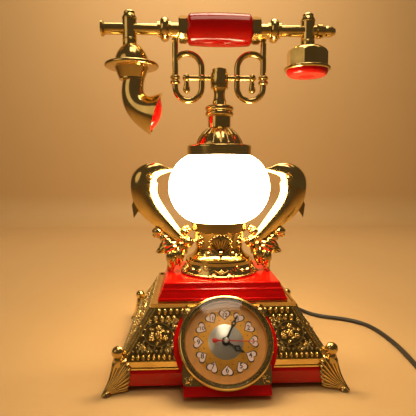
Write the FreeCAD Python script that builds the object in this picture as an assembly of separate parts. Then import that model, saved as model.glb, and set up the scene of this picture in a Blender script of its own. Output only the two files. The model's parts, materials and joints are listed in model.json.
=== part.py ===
import FreeCAD, Part
import math
import os

# A table lamp and clock in the form of an old cradle telephone.
# Millimetres. +X is to the viewer's right, the clock faces -Y, +Z is up.

V = FreeCAD.Vector
X, Y, Z = V(1, 0, 0), V(0, 1, 0), V(0, 0, 1)

# Fits
seat_gap = 0.3
running_gap = 0.05
hole_gap = 0.1

# Base: a red plinth and a tapered housing with plated panels
ledge_width = 150.0
ledge_depth = 140.0
panel_spread = 28.0
panel_thick = 3.0
panel_border = 9.0
relief = 1.6
housing_wall = 3.0
plinth_bottom = 5.0
plinth_height = 15.0
plinth_proud = 3.0
plinth_wall = 12.0
band_height = 8.0
band_lip = 1.4
panel_height = 44.0
ledge_thick = 4.0
bottom_plate_thick = 3.0
screw_radius = 1.5
screw_head_radius = 3.2
screw_head_height = 1.6
screw_length = 11.0

# Corner feet and balls
foot_reach = 12.5
foot_span = 24.0
foot_ribs = 11
rib_radius = 3.7
sole_radius = 4.6
ball_radius = 6.2
ball_seat_radius = 4.2
ball_seat_height = 33.0
ball_out = 7.0

# Stepped red cap on the ledge
cap_width = 136.0
cap_depth = 124.0
cap_tiers = 3
cap_tier_height = 6.0
cap_tier_inset = 3.6
cap_round = 1.6
cap_wall = 4.0

# Column: socle, urn, globe and fluted dome
tie_radius = 5.0
tie_bore = 3.5
nut_radius = 8.0
nut_height = 5.0
socle_radius = 43.0
socle_top_radius = 38.0
socle_height = 16.0
urn_foot_radius = 35.5
urn_waist_radius = 27.5
urn_top_radius = 31.5
urn_height = 40.0
urn_wall = 3.0
seat_height = 3.0
globe_height = 76.0
globe_radius = 58.5
globe_foot_radius = 31.0
globe_mouth_radius = 36.5
globe_wall = 3.0
dome_band_radius = 37.0
dome_band_height = 12.0
dome_radius = 28.0
dome_height = 20.0
dome_flutes = 20
flute_radius = 1.7
neck_radius = 13.0
neck_height = 12.0
collar_radius = 16.2
collar_height = 13.0
holder_radius = 8.5
holder_height = 22.0
bulb_radius = 11.0
bulb_height = 38.0

# Cradle: post, crossbar and two tube loops that end in saddles
post_radius = 7.7
post_height = 21.0
post_sunk = 20.0
hub_radius = 9.4
hub_height = 22.0
hook_travel = 4.0
crossbar_radius = 3.2
crossbar_half = 37.5
loop_tube_radius = 3.4
loop_bend_radius = 15.0
loop_straight = 21.0
loop_curl = 1.1
loop_curl_turn = 140.0
saddle_x = 50.2
saddle_width = 6.8
saddle_wall = 3.2

# Handset: red grip on a tube, a horn on the left and an ear cup on the right
rod_height = 370.0
rod_radius = 6.3
rod_bore = 4.4
handset_half = 132.5
grip_half = 36.0
grip_radius = 18.4
grip_end_radius = 17.4
grip_round = 4.0
hex_flats = 27.0
hex_width = 10.0
spool_radius = 7.35
knob_start = 54.6
knob_width = 15.0
knob_radius = 13.4
hub_x = 101.0
sleeve_radius = 7.8
sleeve_up = 11.0
finial_radius = 6.2
finial_height = 10.0
sleeve_down = 18.0
mouth_dome_radius = 19.0
mouth_dome_height = 20.0
mouth_disc_radius = 30.3
mouth_disc_thick = 5.0
mouth_cone_height = 13.0
horn_throat_radius = 12.0
horn_mouth_radius = 25.0
horn_wall = 2.5
horn_tip_tilt = 17.0
insert_rise = 7.0
ear_cup_radius = 23.3
ear_cup_height = 22.0
ear_sides = 8
ear_flange_radius = 26.4
ear_flange_thick = 4.0
ear_pad_radius = 23.6
ear_pad_thick = 6.0
ear_pad_taper = 3.2
ear_wall = 3.0

# Clock: a red case that leans back in the front slope
clock_centre_y = -102.6
clock_centre_z = 50.0
clock_lean = 38.0
bezel_radius = 46.0
bezel_inner_radius = 41.5
bezel_depth = 8.5
plate_half = 42.0
plate_top = 36.5
plate_bottom = 40.0
plate_thick = 3.0
case_half = 41.0
case_top = 42.0
case_bottom = 58.0
case_floor = 4.5
case_depth = 34.0
case_draft = 4.0
drum_radius = 51.0
drum_depth = 9.0
dial_radius = 40.0
dial_thick = 1.0
lens_thick = 2.0
lens_rise = 3.0
movement_half = 28.0
movement_depth = 16.0
bush_radius = 4.0
second_pin_radius = 0.6
minute_pipe_radius = 1.3
hour_pipe_radius = 2.1
hand_thick = 0.6
hand_step = 1.2
hour_hand_length = 21.0
minute_hand_length = 29.0
second_hand_length = 31.0
hour_turn = -122.0
minute_turn = -26.0
second_turn = -92.0

# Dolphin arms beside the globe
dolphin_depth = 0.82
fin_thick = 4.0
flower_radius = 5.2

# Mains lead
lead_radius = 2.8
gland_x = 50.0
gland_height = 12.5
gland_length = 26.0
gland_radius = 5.5
coil_centre = (244.0, -108.0)
coil_mid_radius = 31.0
coil_turns_across = 4
coil_layers = 2
plug_sleeve_length = 30.0
plug_body_length = 34.0
plug_half_width = 12.0
plug_pin_length = 19.0
plug_pin_radius = 2.0
plug_pin_spacing = 19.0
plug_turn = -14.0
lead_route = [
    (50.0, 127.0, 12.5),
    (52.0, 147.0, 9.0),
    (62.0, 165.0, 4.6),
    (82.0, 174.0, 2.8),
    (103.0, 168.0, 2.8),
    (119.0, 152.0, 2.8),
    (131.5, 131.0, 2.8),
    (142.0, 109.0, 2.8),
    (158.0, 96.0, 2.8),
    (178.0, 88.0, 2.8),
    (195.0, 76.0, 2.8),
    (206.0, 60.0, 2.8),
    (211.0, 40.0, 2.8),
    (213.0, 18.0, 2.8),
    (213.5, -6.0, 2.8),
    (212.0, -30.0, 2.8),
    (209.5, -54.0, 2.8),
    (206.0, -78.0, 2.8),
    (204.6, -98.0, 2.8),
]

# Heights that follow from the sizes above
band_bottom = plinth_bottom + plinth_height
panel_bottom = band_bottom + band_height
panel_top = panel_bottom + panel_height
ledge_top = panel_top + ledge_thick
deck_z = ledge_top + cap_tiers * cap_tier_height
urn_bottom = deck_z + socle_height
seat_z = urn_bottom + urn_height
globe_bottom = seat_z + seat_height
globe_top = globe_bottom + globe_height
dome_bottom = globe_top + dome_band_height
dome_top = dome_bottom + dome_height
collar_bottom = dome_top + neck_height
collar_top = collar_bottom + collar_height
hub_bottom = collar_top + post_height
crossbar_z = hub_bottom + 0.45 * hub_height
foot_width = ledge_width + 2 * panel_spread
foot_depth = ledge_depth + 2 * panel_spread
plinth_width = foot_width + 2 * plinth_proud
plinth_depth = foot_depth + 2 * plinth_proud
slope = math.atan2(panel_spread, panel_height)
panel_inset = panel_thick / math.cos(slope)
wall_inset = panel_inset + housing_wall / math.cos(slope)
lead_diameter = 2 * lead_radius

parts = {}


def rect_wire(width, depth, z):
    w, d = width / 2, depth / 2
    corners = [V(-w, -d, z), V(w, -d, z), V(w, d, z), V(-w, d, z)]
    return Part.makePolygon(corners + corners[:1])


def frustum(w0, d0, z0, w1, d1, z1):
    return Part.makeLoft([rect_wire(w0, d0, z0), rect_wire(w1, d1, z1)], True, True)


def block(width, depth, z0, z1):
    return Part.makeBox(width, depth, z1 - z0, V(-width / 2, -depth / 2, z0))


def profile(start, *steps):
    """Closed XZ outline: (x, z) is a line to a point, (xm, zm, x, z) an arc through a middle point."""
    edges = []
    here = V(start[0], 0, start[1])
    for step in steps + (start,):
        there = V(step[-2], 0, step[-1])
        if here.isEqual(there, 1e-7):
            continue
        if len(step) == 4:
            edges.append(Part.Arc(here, V(step[0], 0, step[1]), there).toShape())
        else:
            edges.append(Part.LineSegment(here, there).toShape())
        here = there
    return Part.Face(Part.Wire(edges))


def turned(start, *steps):
    return profile(start, *steps).revolve(V(0, 0, 0), Z, 360)


def crown(radius, z0, z1):
    """The arc of a ball that closes a turned profile, from radius at z0 to the axis at z1."""
    rise = z1 - z0
    ball = (radius ** 2 + rise ** 2) / (2 * abs(rise))
    half_angle = math.acos((ball - abs(rise)) / ball) / 2
    up = math.copysign(ball, rise)
    return (ball * math.sin(half_angle), z1 - up + up * math.cos(half_angle), 0, z1)


def along_x(shape, x, z):
    """Lays a shape turned about Z along +X, with its start at x, z."""
    laid = shape.copy()
    laid.rotate(V(0, 0, 0), Y, 90)
    laid.translate(V(x, 0, z))
    return laid


def moved(shape, x, y, z):
    copy = shape.copy()
    copy.translate(V(x, y, z))
    return copy


def mirrored(shape):
    return shape.mirror(V(0, 0, 0), X)


def joined(shapes):
    first, rest = shapes[0], shapes[1:]
    return first.fuse(rest).removeSplitter() if rest else first


def polygon_plate(points, thick):
    """A plate in the XZ plane, centred on y = 0."""
    corners = [V(x, -thick / 2, z) for x, z in points]
    return Part.Face(Part.makePolygon(corners + corners[:1])).extrude(V(0, thick, 0))


def rod(start, end, radius):
    return Part.makeCylinder(radius, (end - start).Length, start, end - start)


# Clock frame: local x to the right, local y up the face, local z out of it
clock_place = FreeCAD.Placement(
    V(0, clock_centre_y, clock_centre_z), FreeCAD.Rotation(X, 90 - clock_lean)
)
plate_front = -bezel_depth
plate_back = plate_front - plate_thick
dial_front = plate_front + dial_thick


def on_clock(shape):
    placed = shape.copy()
    placed.Placement = clock_place.multiply(placed.Placement)
    return placed


def clock_case_outline():
    """The case outside: a drafted block that runs back into the housing, and the drum behind the bezel."""
    front = [
        (-case_half, -case_bottom), (case_half, -case_bottom), (case_half, case_top), (-case_half, case_top),
    ]
    grow = case_draft
    back = [(x + math.copysign(grow, x), y) for x, y in front]
    wires = []
    for points, z in ((front, plate_back), (back, plate_back - case_depth)):
        corners = [V(x, y, z) for x, y in points]
        wires.append(Part.makePolygon(corners + corners[:1]))
    body = Part.makeLoft(wires, True, True)
    drum = Part.makeCylinder(drum_radius, drum_depth, V(0, 0, plate_back - drum_depth))
    case = on_clock(joined([body, drum]))
    reach = 2 * plinth_width
    floor = block(reach, reach, -reach, case_floor)
    inside = block(reach, plinth_depth + 2 * seat_gap, -reach, plinth_bottom + bottom_plate_thick)
    ceiling = block(reach, reach, panel_top, panel_top + reach)
    return case.cut(floor).cut(inside).cut(ceiling)


case_outline = clock_case_outline()


def build_base():
    inner_w = plinth_width - 2 * plinth_wall
    inner_d = plinth_depth - 2 * plinth_wall
    plate_w = plinth_width - plinth_wall
    plate_d = plinth_depth - plinth_wall
    shoulder = band_bottom - plinth_proud
    skirt = block(plinth_width, plinth_depth, plinth_bottom, shoulder)
    brow = frustum(plinth_width, plinth_depth, shoulder, foot_width, foot_depth, band_bottom)
    plinth = joined([skirt, brow])
    plinth = plinth.cut(block(inner_w, inner_d, plinth_bottom - 1, band_bottom + 1))
    plate_top_z = plinth_bottom + bottom_plate_thick
    plinth = plinth.cut(block(plate_w, plate_d, plinth_bottom - 1, plate_top_z))

    plate = block(plate_w - 2 * seat_gap, plate_d - 2 * seat_gap, plinth_bottom, plate_top_z)
    screws = []
    sx = inner_w / 2 + screw_radius + seat_gap
    sy = inner_d / 2 + screw_radius + seat_gap
    for x, y in ((-sx, -sy), (sx, -sy), (sx, sy), (-sx, sy)):
        head = Part.makeCylinder(screw_head_radius, screw_head_height, V(x, y, plinth_bottom))
        shank = Part.makeCylinder(screw_radius, screw_length, V(x, y, plinth_bottom))
        screws.append(joined([head, shank]))
        recess = Part.makeCylinder(screw_head_radius + hole_gap, screw_head_height, V(x, y, plinth_bottom))
        hole = Part.makeCylinder(screw_radius + hole_gap, bottom_plate_thick, V(x, y, plinth_bottom))
        plate = plate.cut(recess).cut(hole)
        pilot = Part.makeCylinder(screw_radius + hole_gap, screw_length + 1, V(x, y, plinth_bottom))
        plinth = plinth.cut(pilot)
    gland_start = V(gland_x, plinth_depth / 2 - plinth_wall * 1.5, gland_height)
    gland_hole = Part.makeCylinder(gland_radius, plinth_wall * 2, gland_start, Y)
    plinth = plinth.cut(gland_hole)
    plate = plate.cut(gland_hole)
    parts["plinth"] = plinth.cut(case_outline)
    parts["bottom_plate"] = plate
    parts["plate_screws"] = Part.makeCompound(screws)

    band = block(foot_width, foot_depth, band_bottom, panel_bottom)
    lip_w = foot_width + 2 * band_lip
    lip_d = foot_depth + 2 * band_lip
    for z in (band_bottom, panel_bottom - band_lip):
        band = joined([band, block(lip_w, lip_d, z, z + band_lip)])
    band = band.cut(block(inner_w, inner_d, band_bottom - 1, panel_bottom + 1))
    parts["skirt_band"] = band.cut(case_outline)

    outer = frustum(
        foot_width - 2 * panel_inset, foot_depth - 2 * panel_inset, panel_bottom,
        ledge_width - 2 * panel_inset, ledge_depth - 2 * panel_inset, panel_top,
    )
    rise = panel_height - housing_wall
    narrow = 2 * panel_spread * rise / panel_height
    hollow_w = foot_width - 2 * wall_inset
    hollow_d = foot_depth - 2 * wall_inset
    hollow = frustum(
        hollow_w, hollow_d, panel_bottom, hollow_w - narrow, hollow_d - narrow, panel_top - housing_wall
    )
    tie_hole = Part.makeCylinder(tie_radius + hole_gap, 200, V(0, 0, 0))
    parts["housing"] = outer.cut(hollow).cut(tie_hole).cut(case_outline)

    tray = block(ledge_width, ledge_depth, panel_top, ledge_top)
    rim = block(ledge_width - ledge_thick, ledge_depth - ledge_thick, ledge_top - ledge_thick / 3, ledge_top)
    rim = rim.cut(block(cap_width, cap_depth, panel_top, ledge_top + 1))
    opening = block(cap_width - 4 * cap_wall, cap_depth - 4 * cap_wall, panel_top - 1, ledge_top + 1)
    parts["ledge"] = tray.cut(rim).cut(opening)


def sloped_panel(top_width, bottom_width):
    """A plated panel flat on its back: x across, z up the slope, raised towards -y."""
    height = math.hypot(panel_height, panel_spread)
    t, b = top_width / 2, bottom_width / 2
    lean = (b - t) / height
    plate = polygon_plate([(-b, 0), (b, 0), (t, height), (-t, height)], panel_thick)
    plate.translate(V(0, panel_thick / 2, 0))
    side = panel_border * math.hypot(1, lean)
    low, high = panel_border * 0.7, height - panel_border * 0.7
    bl = b - side - lean * low
    th = b - side - lean * high
    field = polygon_plate([(-bl, low), (bl, low), (th, high), (-th, high)], 2 * relief)
    plate = plate.cut(field)
    trim = []
    for z in (low, high - panel_border * 0.6):
        half = b - side - lean * (z + panel_border * 0.6)
        count = int(2 * half / (panel_border * 0.75))
        pitch = 2 * half / count
        for i in range(count):
            x = -half + (i + 0.5) * pitch
            foot = V(x, relief, z + panel_border * 0.3)
            trim.append(Part.makeCylinder(pitch * 0.36, relief * 0.8, foot, V(0, -1, 0)))
    return plate, trim, height


def cartouche(x, z, half_width, half_height):
    """An oval boss for the middle of a panel."""
    oval = Part.Ellipse(V(0, 0, 0), max(half_width, half_height), min(half_width, half_height)).toShape()
    if half_height > half_width:
        oval.rotate(V(0, 0, 0), Z, 90)
    boss = Part.Face(Part.Wire(oval)).extrude(V(0, 0, relief))
    boss.rotate(V(0, 0, 0), X, 90)
    boss.translate(V(x, relief, z))
    return boss


def build_panels():
    """Four sloped sides. The front one is cut in two by the clock case."""
    oval_high = math.hypot(panel_height, panel_spread) * 0.24
    front_x = (foot_width / 2 + case_half) / 2 - panel_border * 0.9
    sides = [
        ("panel_left", ledge_depth, foot_depth, foot_width, -90, [0.0]),
        ("panel_right", ledge_depth, foot_depth, foot_width, 90, [0.0]),
        ("panel_back", ledge_width, foot_width, foot_depth, 180, [-front_x, 0.0, front_x]),
        ("panel_front", ledge_width, foot_width, foot_depth, 0, [-front_x, front_x]),
    ]
    for name, top_width, bottom_width, span, turn, ovals in sides:
        plate, trim, height = sloped_panel(top_width, bottom_width)
        for x in ovals:
            trim.append(cartouche(x, height * 0.47, oval_high * 1.25, oval_high))
        panel = joined([plate] + trim)
        panel.rotate(V(0, 0, 0), X, -math.degrees(slope))
        panel.translate(V(0, -span / 2, panel_bottom))
        panel.rotate(V(0, 0, 0), Z, turn)
        keep = frustum(
            foot_width, foot_depth, panel_bottom, ledge_width, ledge_depth, panel_top
        )
        panel = panel.common(keep)
        quarter = mitre_wedge(span, turn, bottom_width)
        panel = panel.common(quarter)
        if name != "panel_front":
            parts[name] = panel
            continue
        halves = panel.cut(case_outline).Solids
        left = [s for s in halves if s.CenterOfMass.x < 0 and s.Volume > 100]
        right = [s for s in halves if s.CenterOfMass.x > 0 and s.Volume > 100]
        parts["panel_front_left"] = left[0]
        parts["panel_front_right"] = right[0]


def mitre_wedge(span, turn, width):
    """The quarter of the base that belongs to one side, so that panels meet in mitred corners."""
    far = 2.0
    apex = (width - span) / 2
    if apex >= 0:
        inner_top = [V(apex, 0, 0), V(-apex, 0, 0)]
        corners = [
            V(-apex - span / 2 * far, -span / 2 * far, 0),
            V(apex + span / 2 * far, -span / 2 * far, 0),
        ]
    else:
        inner_top = [V(0, apex, 0)]
        corners = [
            V(-width / 2 * far, apex - width / 2 * far, 0),
            V(width / 2 * far, apex - width / 2 * far, 0),
        ]
    outline = corners + inner_top
    wedge = Part.Face(Part.makePolygon(outline + outline[:1])).extrude(V(0, 0, ledge_top))
    wedge.rotate(V(0, 0, 0), Z, turn)
    return wedge


def build_feet():
    """Scallop-shell feet wrapped round the corners: ribs fan out from the toe towards the ball."""
    base = block(plinth_width, plinth_depth, plinth_bottom - 10, band_bottom - plinth_proud)
    base = joined([
        base,
        frustum(plinth_width, plinth_depth, band_bottom - plinth_proud, foot_width, foot_depth, band_bottom),
        block(foot_width + 2 * band_lip, foot_depth + 2 * band_lip, band_bottom, panel_bottom),
        frustum(foot_width, foot_depth, panel_bottom, ledge_width, ledge_depth, panel_top),
    ])
    below = block(plinth_width * 2, plinth_depth * 2, -50, 0)
    cx, cy = plinth_width / 2, plinth_depth / 2
    toe = V(cx + foot_reach - rib_radius / 2, -cy - foot_reach + rib_radius / 2, rib_radius * 0.55)
    corner_out = ball_out - panel_spread * 0.22
    ball_at = V(foot_width / 2 + corner_out, -foot_depth / 2 - corner_out, 0)
    fan_height = ball_seat_height - plinth_bottom - 2 * rib_radius
    ribs = []
    for i in range(foot_ribs):
        t = 2.0 * i / (foot_ribs - 1) - 1.0
        out = 1.0 - t * t
        side = V(cx - foot_span * abs(t) * (t > 0), -cy + foot_span * abs(t) * (t < 0), 0)
        top = V(side.x, side.y, plinth_bottom + rib_radius + fan_height * out)
        reach = top - toe
        ribs.append(Part.makeCone(rib_radius * 0.42, rib_radius, reach.Length, toe, reach))
        ribs.append(Part.makeSphere(rib_radius, top))
    seat_foot = panel_bottom - 4
    seat = Part.makeCylinder(ball_seat_radius, ball_seat_height - seat_foot, V(ball_at.x, ball_at.y, seat_foot))
    sole = Part.makeCone(sole_radius, sole_radius * 0.8, sole_radius, V(toe.x - 2, toe.y + 2, 0))
    # Joined one by one: a single fuse of so many cones from one toe drops some of them.
    shell = ribs[0]
    for piece in ribs[1:] + [seat, sole]:
        shell = shell.fuse(piece)
    shell = shell.cut(base).cut(below)
    shell = max(shell.Solids, key=lambda s: s.Volume)
    ball = Part.makeSphere(ball_radius, V(ball_at.x, ball_at.y, ball_seat_height + ball_radius * 0.8))
    ball = ball.cut(block(plinth_width * 2, plinth_depth * 2, 0, ball_seat_height))
    balls = []
    for name, flip_x, flip_y in (
        ("foot_front_right", False, False), ("foot_front_left", True, False),
        ("foot_back_right", False, True), ("foot_back_left", True, True),
    ):
        pair = [shell, ball]
        if flip_x:
            pair = [s.mirror(V(0, 0, 0), X) for s in pair]
        if flip_y:
            pair = [s.mirror(V(0, 0, 0), Y) for s in pair]
        parts[name] = pair[0]
        balls.append(pair[1])
    parts["corner_balls"] = Part.makeCompound(balls)


def build_stepped_cap():
    tiers = []
    for i in range(cap_tiers):
        inset = 2 * i * cap_tier_inset
        z = ledge_top + i * cap_tier_height
        tier = block(cap_width - inset, cap_depth - inset, z, z + cap_tier_height)
        rims = [e for e in tier.Edges if abs(e.BoundBox.ZMin - z - cap_tier_height) < 1e-6]
        tiers.append(tier.makeFillet(cap_round, [e for e in rims if e.BoundBox.ZLength < 1e-6]))
    cap = joined(tiers)
    inset = 2 * (cap_tiers - 1) * cap_tier_inset + 2 * cap_wall
    cap = cap.cut(block(cap_width - inset, cap_depth - inset, ledge_top - 1, deck_z - cap_wall))
    parts["stepped_cap"] = cap.cut(Part.makeCylinder(tie_radius + hole_gap, 200, V(0, 0, 0)))


def globe_curve(inset):
    """Side of the globe as one smooth curve from its foot to its mouth."""
    mid = globe_bottom + 0.49 * globe_height
    points = [
        (globe_foot_radius - inset, globe_bottom),
        (globe_radius * 0.85 - inset * 0.9, globe_bottom + 0.175 * globe_height),
        (globe_radius - inset, mid),
        (globe_radius * 0.86 - inset * 0.9, globe_bottom + 0.85 * globe_height),
        (globe_mouth_radius - inset, globe_top),
    ]
    curve = Part.BSplineCurve()
    curve.interpolate([V(x, 0, z) for x, z in points])
    return curve


def globe_solid(inset):
    curve = globe_curve(inset)
    first, last = V(0, 0, globe_bottom), V(0, 0, globe_top)
    foot, mouth = curve.value(curve.FirstParameter), curve.value(curve.LastParameter)
    edges = [
        Part.LineSegment(first, foot).toShape(),
        curve.toShape(),
        Part.LineSegment(mouth, last).toShape(),
        Part.LineSegment(last, first).toShape(),
    ]
    return Part.Face(Part.Wire(edges)).revolve(V(0, 0, 0), Z, 360)


def globe_radius_at(z):
    curve = globe_curve(0.0)
    low, high = curve.FirstParameter, curve.LastParameter
    for _ in range(40):
        middle = (low + high) / 2
        if curve.value(middle).z < z:
            low = middle
        else:
            high = middle
    return curve.value(low).x


def build_column():
    hole = tie_radius + hole_gap
    bead = socle_height * 0.2
    parts["socle"] = turned(
        (hole, deck_z), (socle_radius, deck_z),
        (socle_radius + bead * 0.4, deck_z + bead / 2, socle_radius, deck_z + bead),
        (socle_radius - bead * 0.6, deck_z + bead),
        (socle_top_radius + 1.4, deck_z + socle_height * 0.5, socle_top_radius, deck_z + socle_height * 0.8),
        (socle_top_radius + 1.5, deck_z + socle_height * 0.8),
        (socle_top_radius + 1.5, urn_bottom), (hole, urn_bottom),
    )
    z = urn_bottom
    urn = turned(
        (hole, z), (urn_foot_radius, z), (urn_foot_radius, z + urn_height * 0.06),
        (urn_waist_radius + 2.4, z + urn_height * 0.16, urn_waist_radius, z + urn_height * 0.4),
        (urn_waist_radius + 0.5, z + urn_height * 0.6, urn_top_radius - 2, z + urn_height * 0.78),
        (urn_top_radius, z + urn_height * 0.82), (urn_top_radius, z + urn_height),
        (hole, z + urn_height),
    )
    well = turned(
        (hole + 4, z + urn_wall), (urn_waist_radius - urn_wall, z + urn_wall),
        (urn_waist_radius - urn_wall, z + urn_height - urn_wall), (hole + 4, z + urn_height - urn_wall),
    )
    parts["urn"] = urn.cut(well)
    lip = globe_foot_radius - globe_wall - seat_gap
    parts["globe_seat"] = turned(
        (hole, seat_z), (urn_top_radius + 1, seat_z), (urn_top_radius + 1, globe_bottom),
        (lip, globe_bottom), (lip, globe_bottom + seat_height), (lip - 2, globe_bottom + seat_height),
        (lip - 2, globe_bottom), (hole, globe_bottom),
    )
    parts["globe"] = globe_solid(0.0).cut(globe_solid(globe_wall))

    web = 3.0
    cavity = nut_radius + 2
    arc_mid_r = dome_radius - 6.5
    band_round = 2.4
    dome = turned(
        (hole, dome_bottom - web), (globe_mouth_radius - globe_wall - 2, dome_bottom - web),
        (globe_mouth_radius - globe_wall - 2, globe_top), (dome_band_radius, globe_top),
        (dome_band_radius, dome_bottom - band_round),
        (dome_band_radius - 0.7, dome_bottom - 0.7, dome_band_radius - band_round, dome_bottom),
        (dome_radius, dome_bottom),
        (arc_mid_r, dome_bottom + dome_height * 0.62, neck_radius, dome_top),
        (cavity, dome_top), (cavity, dome_bottom), (hole, dome_bottom),
    )
    for i in range(dome_flutes):
        start = V(dome_radius + flute_radius * 0.5, 0, dome_bottom + flute_radius * 1.2)
        middle = V(arc_mid_r + flute_radius * 0.55, 0, dome_bottom + dome_height * 0.62)
        end = V(neck_radius + flute_radius, 0, dome_top - flute_radius * 0.4)
        flute = joined([
            Part.makeCone(flute_radius, flute_radius * 0.85, (middle - start).Length, start, middle - start),
            Part.makeSphere(flute_radius * 0.85, middle),
            Part.makeCone(flute_radius * 0.85, flute_radius / 2, (end - middle).Length, middle, end - middle),
        ])
        flute.rotate(V(0, 0, 0), Z, 360.0 * i / dome_flutes)
        dome = dome.cut(flute)
    parts["globe_cap"] = dome

    ring = collar_height / 2
    groove = 1.6
    bore = post_radius + running_gap
    parts["neck_collar"] = turned(
        (bore, dome_top), (neck_radius, dome_top), (neck_radius, collar_bottom),
        (collar_radius, collar_bottom + ring * 0.45, neck_radius + groove, collar_bottom + ring),
        (collar_radius, collar_top - ring * 0.45, neck_radius, collar_top), (bore, collar_top),
    )

    tie_bottom = panel_top - housing_wall - nut_height - 3
    tie_top = dome_bottom + nut_height
    tie = Part.makeCylinder(tie_radius, tie_top - tie_bottom, V(0, 0, tie_bottom))
    parts["tie_tube"] = tie.cut(Part.makeCylinder(tie_bore, 400, V(0, 0, 0)))
    nut_wire = hexagon(2 * nut_radius * math.cos(math.pi / 6))
    nuts = []
    for z in (panel_top - housing_wall - nut_height, dome_bottom):
        nut = Part.Face(nut_wire).extrude(V(0, 0, nut_height))
        nut.translate(V(0, 0, z))
        nuts.append(nut.cut(Part.makeCylinder(tie_radius, 400, V(0, 0, 0))))
    parts["tie_nuts"] = Part.makeCompound(nuts)

    holder_y = tie_radius + bulb_radius + 1.0
    holder = Part.makeCylinder(holder_radius, holder_height, V(0, holder_y, globe_bottom))
    socket = Part.makeCylinder(holder_radius - 2, holder_height, V(0, holder_y, globe_bottom + 4))
    parts["lampholder"] = holder.cut(socket)
    stem = holder_radius - 2
    glass_bottom = globe_bottom + holder_height - 6
    shoulder_z = glass_bottom + bulb_height - 2 * bulb_radius
    bulb = turned(
        (0, glass_bottom), (stem, glass_bottom), (stem, shoulder_z),
        (bulb_radius * 0.8, shoulder_z + bulb_radius * 0.4),
        crown(bulb_radius * 0.8, shoulder_z + bulb_radius * 0.4, glass_bottom + bulb_height),
    )
    parts["lamp_bulb"] = moved(bulb, 0, holder_y, 0)

    switch_bottom = dome_bottom + nut_height
    switch_top = collar_top - post_sunk - seat_gap
    body_top = dome_top - 2
    switch = Part.makeCylinder(cavity - seat_gap, body_top - switch_bottom, V(0, 0, switch_bottom))
    button = Part.makeCylinder(2.0, switch_top - body_top, V(0, 0, body_top))
    parts["hook_switch"] = joined([switch, button])


def hexagon(flats):
    corner = flats / 2 / math.cos(math.pi / 6)
    return polygon_ring(corner, 6, 0.0)


def polygon_ring(radius, sides, first):
    """A closed regular polygon about Z. Its first corner is turned by a share of one side."""
    turns = [2 * math.pi * (i + first) / sides for i in range(sides)]
    points = [V(radius * math.cos(turn), radius * math.sin(turn), 0) for turn in turns]
    return Part.makePolygon(points + points[:1])


def build_dolphins():
    """A lofted fish body from the urn up to the globe, with fin, flukes, flowers and a leg to the deck."""
    beak_z = globe_bottom + 0.79 * globe_height
    beak_x = globe_radius_at(beak_z) + seat_gap + 1.2
    top, low = beak_z, urn_bottom
    spine = [
        (urn_waist_radius + 3.0, low + 17.0, 6.0),
        (54.0, low + 31.5, 8.5),
        (70.0, low + 48.0, 12.0),
        (82.5, low + 64.0, 14.6),
        (87.0, low + 82.0, 15.4),
        (83.5, top - 7.0, 14.0),
        (74.5, top - 1.0, 9.5),
        (beak_x + 8.0, top, 4.6),
        (beak_x, top, 1.6),
    ]
    wires = []
    for i, (x, z, half) in enumerate(spine):
        before = spine[max(i - 1, 0)]
        after = spine[min(i + 1, len(spine) - 1)]
        heading = V(after[0] - before[0], 0, after[1] - before[1])
        across = heading.cross(Y)
        across.normalize()
        ellipse = Part.Ellipse(V(x, 0, z) + across * half, V(x, half * dolphin_depth, z), V(x, 0, z))
        wires.append(Part.Wire(ellipse.toShape()))
    body = Part.makeLoft(wires, True, False)
    fin = polygon_plate(
        [(80, low + 58), (96, low + 76), (101, low + 62), (99, low + 47), (93, low + 56)], fin_thick
    )
    fluke = polygon_plate(
        [(40, low + 22), (56, low + 30), (64, low + 18), (74.5, low + 7.5), (58, low + 10)], fin_thick
    )
    inner = polygon_plate([(34, low + 20), (46, low + 24), (47, low + 10), (38, low + 4)], fin_thick)
    leg = polygon_plate(
        [(46, low + 24), (56, low + 26), (62, low + 8), (60, deck_z), (53, deck_z), (56, low + 6)], fin_thick
    )
    shapes = [body, fin, fluke, inner, leg]
    for x, rise, r in ((72.0, 31.0, 1.1), (64.0, 24.0, 0.9), (36.5, 19.0, 1.1), (41.0, 31.0, 0.9)):
        shapes.append(Part.makeSphere(flower_radius * r, V(x, -fin_thick / 2, low + rise)))
    keep_out = turned(
        (0, deck_z), (socle_radius + 3, deck_z), (socle_radius + 3, deck_z + socle_height * 0.2),
        (socle_top_radius + 1.6, deck_z + socle_height * 0.2), (socle_top_radius + 1.6, urn_bottom),
        (urn_foot_radius + seat_gap, urn_bottom),
        (urn_foot_radius + seat_gap, urn_bottom + urn_height * 0.06), (0, urn_bottom),
    )
    fish = joined(shapes).cut(keep_out).cut(parts["urn"]).cut(parts["globe_seat"])
    well = Part.makeCylinder(urn_waist_radius - 1, urn_height, V(0, 0, urn_bottom))
    fish = fish.cut(well)
    fish = max(fish.Solids, key=lambda s: s.Volume)
    parts["dolphin_right"] = fish
    parts["dolphin_left"] = mirrored(fish)


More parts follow.
